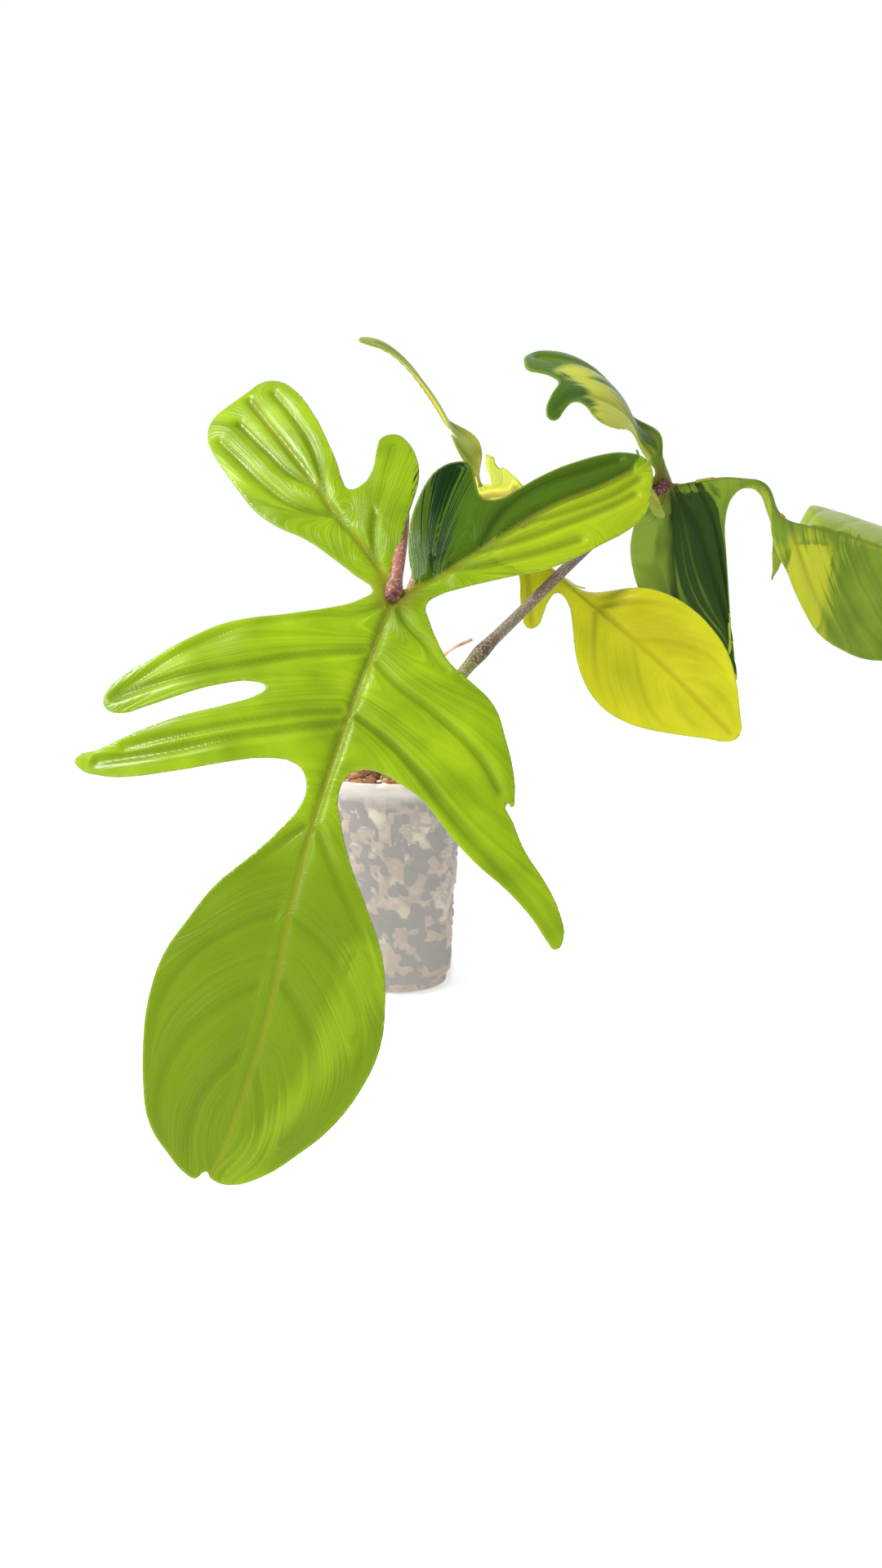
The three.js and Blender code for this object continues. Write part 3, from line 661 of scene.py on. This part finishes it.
def make_blade(name, node, outline, bend, ribs, right_veins, left_veins, zones, calm=(), rib_height=1):
    """A blade with its veins sunk into it. Its mesh keeps, in millimetres, how far each point lies from
    the nearest rib and margin, how far inside each colour zone, and its strand count. The crease of the
    nearest vein is 1 along its line, and fades towards the margin, on the flat end lobe and in the calm
    areas, where the real leaf is smooth."""
    edge = smooth_line(outline, closed=True, steps=3)
    shape = bmesh.new()
    corners = [shape.verts.new(p) for p in edge]
    shape.faces.new(corners)
    low = [min(p[i] for p in edge) for i in (0, 1)]
    high = [max(p[i] for p in edge) for i in (0, 1)]
    for axis in (0, 1):
        line = math.ceil(low[axis] / CELL) * CELL
        while line < high[axis]:
            plane = [0.0, 0.0, 0.0]
            plane[axis] = 1.0
            bmesh.ops.bisect_plane(shape, geom=shape.verts[:] + shape.edges[:] + shape.faces[:],
                                   dist=1e-4, plane_co=[line * n for n in plane], plane_no=plane)
            line += CELL
    bmesh.ops.remove_doubles(shape, verts=shape.verts, dist=0.02)
    bmesh.ops.recalc_face_normals(shape, faces=shape.faces)
    if shape.faces[0].normal.z < 0:
        bmesh.ops.reverse_faces(shape, faces=shape.faces)
    blade = add_piece(name, shape)
    mesh = blade.data

    rib_tree, margin_tree = line_tree(ribs), line_tree([outline], closed=True)
    halves = (Strands(left_veins), Strands(right_veins))
    calm_tree = line_tree(calm, closed=True) if calm else None
    zone_trees = {zone: line_tree([border], closed=True) for zone, border in zones.items()}
    kept = {key: [] for key in ("rib", "crease", "strand", "margin", *zones)}
    flat = []
    thick = []
    for v in mesh.vertices:
        along, across = v.co.x, v.co.y
        rib = rib_tree.find(v.co)[2]
        margin = margin_tree.find(v.co)[2]
        # past the notch the midrib parts the halves, and the basal lobes keep to the half that is nearer
        near_halves = [halves[across > 0]] if along > 0 else halves
        vein, count = min(half.read(v.co) for half in near_halves)
        vein = min(rib, vein)
        far_end = eased(END_LOBE, along)
        relief = 1
        if any(inside(area, along, across) for area in calm):
            relief -= CALM_LOSS * min(1, calm_tree.find(v.co)[2] / CALM_FADE)
        crease = math.exp(-((max(0, vein - CREASE_CORE) / CREASE_SPREAD) ** 2))
        crease *= (1 - SMOOTHER_CREASES * far_end) * min(1, margin / CREASE_FADE) * relief
        kept["rib"].append(rib)
        kept["crease"].append(crease)
        kept["strand"].append(count)
        kept["margin"].append(margin)
        for zone, border in zones.items():
            far = zone_trees[zone].find(v.co)[2]
            kept[zone].append(far if inside(border, along, across) else -far)
        flat += [along, across, 0.0]
        valley = sum(share * math.exp(-((vein / spread) ** 2)) for share, spread in VALLEYS)
        relief *= (1 - SMOOTHER_VALLEYS * far_end) * min(1, margin / VALLEY_FADE)
        rise = VEIN_DEPTH * relief * (BULGE - valley)
        rise += RIPPLE * noise.noise(Vector((along, across, 0)) / RIPPLE_LENGTH)
        thick.append(rib_weight(rib, along, bend.length, rib_height))
        v.co = bend.place(along, across, rise + BLADE_THICKNESS / 2) * MM
    for key, values in kept.items():
        mesh.attributes.new(key, "FLOAT", "POINT").data.foreach_set("value", values)
    mesh.attributes.new("flat", "FLOAT_VECTOR", "POINT").data.foreach_set("vector", flat)
    weights = blade.vertex_groups.new(name="thickness")
    for i, weight in enumerate(thick):
        weights.add([i], weight, "REPLACE")
    sheet = blade.modifiers.new("thickness", "SOLIDIFY")
    sheet.thickness = RIB_THICKNESS * MM
    sheet.offset = -1
    sheet.vertex_group = "thickness"
    sheet.material_offset = 1
    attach(blade, "root")
    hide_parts(node)
    return blade


# Front leaf: yellow green, and the one that hangs nearest to the viewer. Its right basal lobe is dark
# in one sector, as the plant's green and yellow cells are mixed by chance. The front stalk holds it.

FRONT_OUTLINE = [
    # right basal lobe, from the petiole notch up and round
    (-4, 5), (-10, 3), (-17, -1), (-26, -5), (-36, -8), (-47, -9.6), (-57, -10), (-67, -8.5),
    (-75, -3), (-77, 2), (-73, 6), (-66, 10), (-59, 16), (-60, 21), (-70, 28), (-82, 35), (-94, 44),
    (-105, 54), (-111, 63), (-112, 72), (-107, 77), (-96, 80), (-82, 82), (-68, 78), (-55, 70),
    (-43, 62), (-33, 54), (-26, 45), (-18, 34), (-10, 24), (-4, 17),
    # right side lobe, with its torn tooth
    (2, 14), (10, 18), (18, 24), (26, 32), (31, 41), (38, 53), (50, 61), (64, 68), (74, 71),
    (78, 71), (77, 69), (84, 73), (94, 80), (104, 90), (115, 98), (124, 101), (129, 99), (127, 96),
    (120, 89), (112, 78), (104, 63), (95, 50), (87, 40), (82, 28), (80, 18),
    # end lobe, down its right edge, round the tip and up its left edge
    (83, 10), (92, 8), (104, 13), (118, 21), (132, 31), (148, 41), (164, 46), (180, 48), (195, 45),
    (210, 38), (222, 28), (231, 18), (236, 7), (235, 0), (233, -2), (236, -5), (235, -9),
    (230, -16), (221, -25), (208, -31), (193, -35), (178, -37), (164, -36), (150, -31), (138, -26),
    (125, -17), (112, -9), (99, -4), (90, -6),
    # lower left side lobe
    (86, -11), (87, -23), (93, -37), (101, -55), (107, -71), (109, -84), (108, -92), (105, -95),
    (100, -87), (91, -76), (80, -60), (70, -43), (64, -35),
    # upper left side lobe
    (60, -33), (59, -38), (64, -51), (72, -64), (80, -76), (85, -85), (84, -92), (79, -94),
    (70, -90), (60, -81), (49, -71), (41, -63), (34, -52), (26, -36), (17, -21), (9, -12),
    # left basal lobe, with its inner lobe
    (3, -9), (-1, -18), (-6, -31), (-11, -46), (-13, -58), (-18, -71), (-26, -83), (-35, -95),
    (-45, -107), (-54, -115), (-64, -118), (-75, -115), (-84, -111), (-92, -107), (-94, -100),
    (-90, -89), (-79, -74), (-66, -61), (-54, -50), (-45, -43), (-42, -39), (-46, -35), (-56, -34),
    (-67, -37), (-75, -38), (-79, -33), (-77, -27), (-70, -19.5), (-60, -14), (-48, -11.4),
    (-36, -9.8), (-26, -7.6), (-16, -6.3), (-8, -5.6), (-3, -4),
]
FRONT_MIDRIB = [(2, 0), (60, 1.5), (112, 3), (146, 5), (176, 6.5), (205, 5), (220, 3), (236, 0)]
FRONT_LEFT_RIB = [
    (2, 0), (-8, -10), (-18, -24), (-28, -39), (-40, -54), (-52, -70), (-68, -92), (-80, -108),
]
FRONT_RIGHT_RIB = [
    (2, 0), (-4, 6), (-12, 13), (-22, 19), (-34, 26), (-50, 35), (-64, 43), (-82, 56), (-102, 69),
]
FRONT_RIGHT_VEINS = [
    [(196, 7), (208, 12), (222, 13), (234, 6)],
    [(165, 9), (176, 20), (190, 28), (208, 29), (226, 20), (235, 10)],
    [(142, 6), (148, 19), (160, 32), (178, 42), (200, 41), (222, 28)],
    [(108, 5), (118, 13), (132, 24), (148, 36), (164, 46)],
    [(60, 4), (66, 18), (75, 33), (88, 50), (100, 67), (112, 84), (125, 98)],
    [(35, 4), (42, 15), (50, 34), (58, 49), (66, 59), (74, 66)],
    [(8, 4), (14, 10), (20, 20), (25, 26), (29, 32)],
    [(-18, 17), (-26, 31), (-38, 46), (-54, 62)],
    [(-30, 24), (-41, 37), (-55, 50), (-75, 66), (-90, 75)],
    [(-50, 35), (-66, 52), (-84, 66), (-100, 74)],
    FRONT_RIGHT_RIB,
    [(-34, 25), (-52, 26), (-70, 33), (-92, 50), (-106, 62)],
    [(-12, 12), (-30, 6), (-50, 2), (-72, 0)],
]
FRONT_LEFT_VEINS = [
    [(190, 2), (204, -8), (220, -11), (234, -8)],
    [(166, 2), (178, -12), (194, -22), (212, -24), (228, -18)],
    [(141, 1), (150, -13), (164, -26), (184, -33), (206, -31)],
    [(108, 0), (118, -8), (132, -19), (148, -31)],
    [(66, -1), (74, -18), (84, -40), (95, -62), (104, -86)],
    [(60, -2), (68, -20), (77, -38), (87, -58), (97, -78)],
    [(31, -2), (36, -12), (45, -30), (53, -44), (61, -60), (70, -76), (80, -90)],
    [(9, -3), (16, -10), (22, -24), (32, -43), (42, -58), (58, -74), (80, -91)],
    [(-27, -38), (-26, -54), (-33, -74), (-44, -94), (-52, -108)],
    [(-38, -51), (-42, -66), (-52, -84), (-64, -104)],
    FRONT_LEFT_RIB,
    [(-35, -47), (-49, -56), (-62, -67), (-76, -84), (-86, -98)],
    [(-12, -14), (-30, -22), (-52, -27), (-72, -31)],
]
FRONT_ZONES = {
    # the basal lobe above its rib is mid green, partly its own tone and partly painted shade on the side
    # of the rib's fold that turns from the light
    "mid": [(2, 0), (-4, 6), (-12, 13), (-22, 19), (-34, 26), (-50, 35), (-64, 43), (-82, 56),
            (-106, 69), (-122, 72), (-122, 40), (-70, 14), (-86, 6), (-86, -11.5), (-57, -11.6),
            (-47, -10.6), (-36, -8.9), (-26, -6.3), (-17, -3.6), (-8, -1.5)],
    # the darkest sector fills its small inner lobe, and ends ragged on the way down to the rib
    "dark": [(-82, -4), (-74, 2), (-53, 5.7), (-37, 9.3), (-22, 12.4), (-18, 9.3), (-25, 3.6), (-33, 0.7),
             (-44, -4.3), (-52, -8), (-62, -12), (-76, -10)],
    # the end lobe is a little darker, partly its own olive tone and partly painted shade, as it faces
    # sideways, away from the light above; one pale streak sweeps down it
    "end": [(118, -60), (112, 0), (118, 60), (180, 80), (260, 60), (270, 0), (260, -60), (180, -80)],
    # below its rib the right basal lobe is a lighter yellow green, partly its own tone and partly painted
    # light on the side of the rib's fold that faces the light
    "sunny": [(-30, 27), (-50, 37), (-64, 45), (-82, 58), (-102, 71), (-120, 80), (-106, 94), (-78, 94),
              (-48, 80), (-34, 66), (-26, 50)],
    "pale": [(146, 32), (158, 42), (172, 41), (188, 35), (204, 29), (222, 17), (238, 10), (238, 3),
             (220, 10), (202, 20), (184, 25), (166, 28)],
}
# the two small inner lobes beside the stalk
FRONT_CALM = [
    [(-24, -12), (-40, -8), (-90, -20), (-84, -44), (-60, -40), (-46, -34)],
    [(-82, 6), (-60, 14), (-30, 16), (-20, 8), (-34, -3), (-52, -12), (-82, -12)],
]
front_leaf = make_blade("front_leaf", "leaf_front", FRONT_OUTLINE, front_bend,
                        [FRONT_MIDRIB, FRONT_LEFT_RIB, FRONT_RIGHT_RIB], FRONT_RIGHT_VEINS,
                        FRONT_LEFT_VEINS, FRONT_ZONES, FRONT_CALM)


STRAND_STRETCH = 0.035  # makes a streak about 29 times as long as it is wide
SINK = "#5E2A16"  # the dark red where the stalk's knot shows through the blade
MARGIN = "#8C9C34"


def strand_noise(material, flat, scale):
    """The output of a noise in long thin streaks that follow the strands. The scale is for a millimetre
    across them, as the flat place and the strand count are in millimetres."""
    split = add_node(material, "ShaderNodeSeparateXYZ", None, {"Vector": flat.outputs["Vector"]})
    slow_x, slow_y = (
        add_node(material, "ShaderNodeMath", {"operation": "MULTIPLY", 1: STRAND_STRETCH},
                 {0: split.outputs[axis]})
        for axis in "XY"
    )
    place = add_node(material, "ShaderNodeCombineXYZ", None, {
        "X": kept_value(material, "strand"), "Y": slow_x.outputs["Value"], "Z": slow_y.outputs["Value"],
    })
    return add_node(material, "ShaderNodeTexNoise", {"Scale": scale, "Detail": 2},
                    {"Vector": place.outputs["Vector"]}).outputs["Fac"]


def leaf_material(name, light, deep, rib_colour, zones):
    """Living leaf: a waxy skin over soft tissue, so it takes long soft highlights and shows fine strands
    between creases that are darkened, partly their own darker green and partly painted shade. Its streaks
    are 3 mm wide and its clouds 30 mm, and the strands are drawn 1.4 mm apart, coarser than the real
    ones, so that they show. Each zone is a (name, two colours, raggedness, softness), with its edge torn
    along the strands, as the leaf's cells grow in lines."""
    material = new_material(name, {"Roughness": 0.27, "IOR": 1.45, "Specular IOR Level": 0.15})
    flat = add_node(material, "ShaderNodeAttribute", {"attribute_name": "flat"})
    crease = kept_value(material, "crease")
    streaks = strand_noise(material, flat, 0.3)
    clouds = add_node(material, "ShaderNodeTexNoise", {"Scale": 0.035, "Detail": 2},
                      {"Vector": flat.outputs["Vector"]})
    blend = add_node(material, "ShaderNodeMix", {"data_type": "FLOAT", "Factor": 0.6},
                     {2: streaks, 3: clouds.outputs["Fac"]})
    colour = tone_ramp(material, blend.outputs["Result"], [(0.38, deep), (0.62, light)])
    for zone, (first, second), ragged, soft in zones:
        torn = add_node(material, "ShaderNodeMapRange",
                        {"From Min": 0.3, "From Max": 0.7, "To Min": -ragged, "To Max": ragged},
                        {"Value": streaks})
        shift = add_node(material, "ShaderNodeMath", {"operation": "ADD"},
                         {0: kept_value(material, zone), 1: torn.outputs["Result"]})
        cover = add_node(material, "ShaderNodeMapRange", {"From Min": -soft, "From Max": soft},
                         {"Value": shift.outputs["Value"]})
        tones = add_node(material, "ShaderNodeMix",
                         {"data_type": "RGBA", "A": linear(first), "B": linear(second)},
                         {"Factor": streaks})
        mixed = add_node(material, "ShaderNodeMix", {"data_type": "RGBA"}, {
            "Factor": cover.outputs["Result"], "A": colour, "B": tones.outputs["Result"],
        })
        colour = mixed.outputs["Result"]
    # painted shade: the colour darkens to 72 % along the sunken vein creases, partly the veins' own
    # darker green
    vein_shade_factor = add_node(material, "ShaderNodeMapRange", {"To Min": 1.0, "To Max": 0.72}, {"Value": crease})
    vein_shaded_colour = add_node(material, "ShaderNodeVectorMath", {"operation": "SCALE"},
                       {0: colour, "Scale": vein_shade_factor.outputs["Result"]})
    colour = vein_shaded_colour.outputs["Vector"]
    knot = add_node(material, "ShaderNodeVectorMath", {"operation": "LENGTH"},
                    {0: flat.outputs["Vector"]})
    for source, shade, low, high, most in (
            (kept_value(material, "rib"), rib_colour, 0.7, 1.8, 0.7),
            (knot.outputs["Value"], SINK, 3.0, 14.0, 0.6),
            (kept_value(material, "margin"), MARGIN, 0.3, 1.2, 0.4)):
        near = add_node(material, "ShaderNodeMapRange",
                        {"From Min": low, "From Max": high, "To Min": most, "To Max": 0.0},
                        {"Value": source})
        tinted = add_node(material, "ShaderNodeMix", {"data_type": "RGBA", "B": linear(shade)},
                          {"Factor": near.outputs["Result"], "A": colour})
        colour = tinted.outputs["Result"]
    comb = add_node(material, "ShaderNodeBump", {"Strength": 0.5, "Distance": 0.0006},
                    {"Height": strand_noise(material, flat, 0.7)})
    bump = add_node(material, "ShaderNodeBump", {"Strength": 0.3, "Distance": 0.0009, "invert": True},
                    {"Height": crease, "Normal": comb.outputs["Normal"]})
    finish_material(material, {"Base Color": colour, "Normal": bump.outputs["Normal"]})
    return material


def underside_material(name, light, deep):
    """The leaf's lower side has no wax, so it is paler and dull. It shows streaks 2.5 mm wide, and its
    ribs stand out in tan."""
    material = new_material(name, {"Roughness": 0.55, "IOR": 1.45, "Specular IOR Level": 0.15})
    flat = add_node(material, "ShaderNodeAttribute", {"attribute_name": "flat"})
    streaks = strand_noise(material, flat, 0.4)
    near = add_node(material, "ShaderNodeMapRange",
                    {"From Min": 0.8, "From Max": 2.0, "To Min": 0.7, "To Max": 0.0},
                    {"Value": kept_value(material, "rib")})
    ribbed = add_node(material, "ShaderNodeMix", {"data_type": "RGBA", "B": linear("#8E6A34")},
                      {"Factor": near.outputs["Result"],
                       "A": tone_ramp(material, streaks, [(0.35, deep), (0.65, light)])})
    finish_rough(material, ribbed.outputs["Result"], streaks, 0.35, 0.0005)
    return material


front_leaf.data.materials.append(leaf_material(
    "waxy yellow-green leaf", "#849E0E", "#678208", "#757C14",
    # end: partly painted shade on the end lobe
    [("end", ("#5C7408", "#69820C"), 3.0, 16.0), ("sunny", ("#7F930C", "#98AB12"), 4.0, 5.0),
     # sunny, above, is partly painted light and mid partly painted shade, on the two sides of the right
     # basal lobe's rib
     ("mid", ("#304A02", "#466306"), 3.0, 1.0),
     ("dark", ("#041A01", "#0F3003"), 7.0, 0.8), ("pale", ("#6E880E", "#7E9614"), 3.0, 3.0)],
))
front_leaf.data.materials.append(underside_material("dull leaf underside", "#8CA334", "#769028"))

# Rear leaf: almost wholly yellow. Its end lobe turns to the viewer, and one basal lobe stands up thin.
# It is the same kind of sheet as the front one, and the rear stalk holds it.

REAR_OUTLINE = [
    # right basal lobe
    (-5, 4), (-11, 3), (-19, 2), (-27, 3), (-32, 7), (-33, 12), (-30, 16), (-27, 19), (-32, 25),
    (-41, 33), (-50, 42), (-58, 48), (-66, 52), (-67, 55), (-60, 58), (-49, 56), (-40, 51),
    (-32, 44), (-25, 37), (-18, 28), (-12, 19), (-6, 13),
    # right side lobes
    (4, 13), (14, 20), (24, 32), (34, 48), (42, 62), (48, 70), (54, 69), (54, 60), (50, 46),
    (46, 32), (48, 24), (56, 26), (64, 33), (71, 40), (77, 43), (82, 40), (83, 31), (80, 21),
    (80, 12),
    # end lobe
    (88, 11), (97, 17), (108, 25), (124, 33), (140, 36), (156, 35), (171, 31), (186, 22), (199, 11),
    (209, 0), (206, -7), (197, -13), (184, -22), (168, -32), (154, -38), (138, -40), (122, -36),
    (106, -26), (94, -15), (84, -8),
    # left side lobes
    (76, -8), (75, -15), (78, -23), (80, -30), (76, -35), (68, -32), (59, -26), (52, -20),
    (45, -17), (40, -20), (37, -28), (35, -40), (31, -50), (24, -51), (18, -40), (12, -26),
    (7, -15),
    # left basal lobe
    (2, -12), (0, -24), (-5, -40), (-11, -54), (-18, -63), (-26, -65), (-32, -58), (-33, -50),
    (-30, -44), (-34, -43), (-41, -46), (-47, -46), (-46, -42), (-37, -37), (-27, -29), (-18, -25),
    (-12, -20), (-9, -11), (-5, -3),
]
REAR_MIDRIB = [(2, 0), (50, 0), (100, 1), (150, 1), (205, -2)]
REAR_LEFT_RIB = [(2, 0), (-6, -20), (-14, -44), (-24, -60)]
REAR_RIGHT_RIB = [(2, 0), (-8, 12), (-20, 26), (-36, 42), (-60, 53)]
REAR_RIGHT_VEINS = [
    [(162, 2), (174, 9), (190, 10), (204, 4)],
    [(130, 3), (145, 14), (165, 22), (186, 20)],
    [(100, 3), (112, 16), (128, 28), (146, 35)],
    [(40, 2), (54, 16), (66, 28), (79, 38)],
    [(6, 3), (20, 22), (34, 42), (50, 66)],
    REAR_RIGHT_RIB,
    [(-10, 8), (-20, 8), (-30, 10)],
]
REAR_LEFT_VEINS = [
    [(162, -3), (176, -10), (196, -11)],
    [(130, -2), (146, -14), (166, -23), (184, -21)],
    [(100, -2), (112, -16), (128, -30), (146, -39)],
    [(36, -2), (52, -12), (64, -22), (77, -32)],
    [(6, -3), (16, -20), (28, -46)],
    REAR_LEFT_RIB,
    [(-10, -16), (-22, -30), (-44, -44)],
]
REAR_ZONES = {
    # an olive shade beside the midrib of the end lobe
    "warm": [(92, 6), (100, 24), (120, 28), (150, 26), (166, 18), (150, 8), (120, 4)],
    # the thin lobe that stands up is a paler green
    "fresh": [(-12, 10), (-18, -2), (-38, 0), (-38, 18), (-33, 22), (-74, 48), (-74, 64), (-46, 62),
              (-12, 28)],
}
rear_leaf = make_blade("rear_leaf", "leaf_rear", REAR_OUTLINE, rear_bend,
                       [REAR_MIDRIB, REAR_LEFT_RIB, REAR_RIGHT_RIB], REAR_RIGHT_VEINS, REAR_LEFT_VEINS,
                       REAR_ZONES)
rear_leaf.data.materials.append(leaf_material(
    "waxy yellow leaf", "#B8B61A", "#A8A814", "#A09614",
    [("warm", ("#989414", "#A6A216"), 6.0, 8.0), ("fresh", ("#7F9030", "#939E3E"), 3.0, 4.0)],
))
rear_leaf.data.materials.append(underside_material("yellow leaf underside", "#BFC63E", "#AAB430"))

# Right leaf: green and yellow in sectors. It arches out like a roof: its near half hangs, dark green
# in the middle, and its end lobe reaches far to the right. The right stalk holds it.

SIDE_OUTLINE = [
    # right basal lobe
    (-5, 4), (-12, 5), (-22, 5), (-34, 5), (-46, 5), (-54, 9), (-57, 17), (-56, 25), (-58, 31),
    (-63, 32), (-69, 33), (-71, 37), (-67, 41), (-61, 43), (-56, 45), (-55, 51), (-56, 58),
    (-57, 64), (-55, 70), (-51, 76), (-46, 78), (-41, 73), (-35, 62), (-30, 52), (-25, 43),
    (-20, 34), (-15, 25), (-10, 18), (-4, 14),
    # right side lobes
    (4, 15), (14, 22), (24, 34), (33, 44), (40, 47), (44, 40), (45, 28), (47, 16), (52, 9), (60, 7),
    (70, 7), (82, 7), (90, 9), (95, 16), (98, 25), (101, 34), (104, 41), (107, 40), (106, 31),
    (104, 23), (105, 17),
    # end lobe
    (109, 18), (114, 26), (122, 38), (138, 52), (156, 60), (174, 62), (192, 58), (208, 48),
    (222, 34), (232, 18), (238, 2), (234, -14), (224, -32), (208, -50), (190, -62), (170, -69),
    (149, -68), (130, -62), (118, -52), (108, -41), (99, -28), (92, -15), (86, -7),
    # left side lobe
    (78, -4), (66, -4), (56, -6), (47, -12), (41, -24), (39, -42), (40, -60), (44, -80), (49, -98),
    (46, -114), (36, -122), (24, -120), (12, -108), (6, -92), (2, -74), (-1, -56), (-4, -38),
    (-5, -22),
    # left basal lobe
    (-2, -12), (-7, -20), (-13, -31), (-20, -42), (-28, -51), (-36, -54), (-42, -50), (-43, -42),
    (-38, -33), (-31, -24), (-33, -16), (-36, -10), (-31, -6), (-22, -5), (-12, -3), (-6, -1),
]
SIDE_MIDRIB = [(2, 0), (50, 0), (100, 0), (150, 0), (200, -1), (234, 0)]
SIDE_LEFT_RIB = [(2, 0), (-8, -12), (-20, -30), (-38, -46)]
SIDE_RIGHT_RIB = [(2, 0), (-10, 12), (-22, 30), (-36, 52), (-48, 72)]
SIDE_RIGHT_VEINS = [
    [(185, 1), (200, 12), (216, 17), (230, 16)],
    [(155, 2), (172, 17), (194, 30), (218, 36)],
    [(125, 2), (142, 22), (164, 42), (190, 57)],
    [(106, 2), (116, 18), (134, 40), (156, 60)],
    [(70, 1), (84, 3), (96, 12), (103, 34)],
    [(10, 2), (22, 22), (38, 44)],
    SIDE_RIGHT_RIB,
    [(-10, 8), (-30, 14), (-48, 28), (-64, 36)],
]
SIDE_LEFT_VEINS = [
    [(170, -2), (190, -14), (212, -22), (228, -23)],
    [(145, -2), (162, -22), (186, -40), (212, -46)],
    [(120, -2), (136, -26), (160, -50), (188, -63)],
    [(98, -2), (108, -20), (126, -44), (148, -67)],
    [(24, -2), (30, -24), (32, -60), (40, -104)],
    [(10, -2), (16, -24), (20, -60), (26, -110)],
    [(6, -6), (6, -40), (10, -80), (18, -108)],
    SIDE_LEFT_RIB,
    [(-12, -8), (-24, -10), (-34, -12)],
]
SIDE_ZONES = {
    "dark": [(8, -4), (34, -10), (36, -40), (34, -70), (40, -126), (18, -126), (14, -96), (8, -60),
             (6, -30)],
    "yellow": [(-10, -24), (2, -22), (2, -60), (6, -100), (14, -130), (-14, -130), (-14, -60)],
    "band": [(100, -14), (126, -8), (130, -40), (128, -70), (104, -70)],
    # the far half of the end lobe is painted lighter: partly its own paler green, partly painted light
    # shining through the thin blade
    "bright": [(104, 3), (150, 3), (215, 3), (240, 30), (150, 70), (104, 40)],
    "green": [(-8, 12), (-30, 16), (-50, 20), (-80, 30), (-66, 80), (-36, 84), (-2, 30)],
    # a yellow sector along its lower edge, where it curls up
    "sector": [(-14, 4), (-30, 1), (-46, 2), (-58, 9), (-54, 22), (-50, 36), (-50, 54), (-42, 52),
               (-38, 36), (-33, 22), (-24, 13), (-14, 9)],
}
right_leaf = make_blade("right_leaf", "leaf_right", SIDE_OUTLINE, side_bend,
                        [SIDE_MIDRIB, SIDE_LEFT_RIB, SIDE_RIGHT_RIB], SIDE_RIGHT_VEINS, SIDE_LEFT_VEINS,
                        SIDE_ZONES, rib_height=0.1)
right_leaf.data.materials.append(leaf_material(
    "waxy variegated leaf", "#6E8424", "#587018", "#66701C",
    [("yellow", ("#76902A", "#879C32"), 3.0, 3.0), ("dark", ("#182F08", "#2E4A14"), 6.0, 2.5),
     # bright: partly painted light on the far half of the end lobe
     ("band", ("#9CA224", "#AEB02C"), 6.0, 5.0), ("bright", ("#7C9028", "#90A034"), 5.0, 3.0),
     ("green", ("#2F4F0C", "#4C6C18"), 3.0, 1.5), ("sector", ("#A0A634", "#B4B844"), 3.0, 2.0)],
))
right_leaf.data.materials.append(underside_material("pale leaf underside", "#A4AC38", "#84962C"))
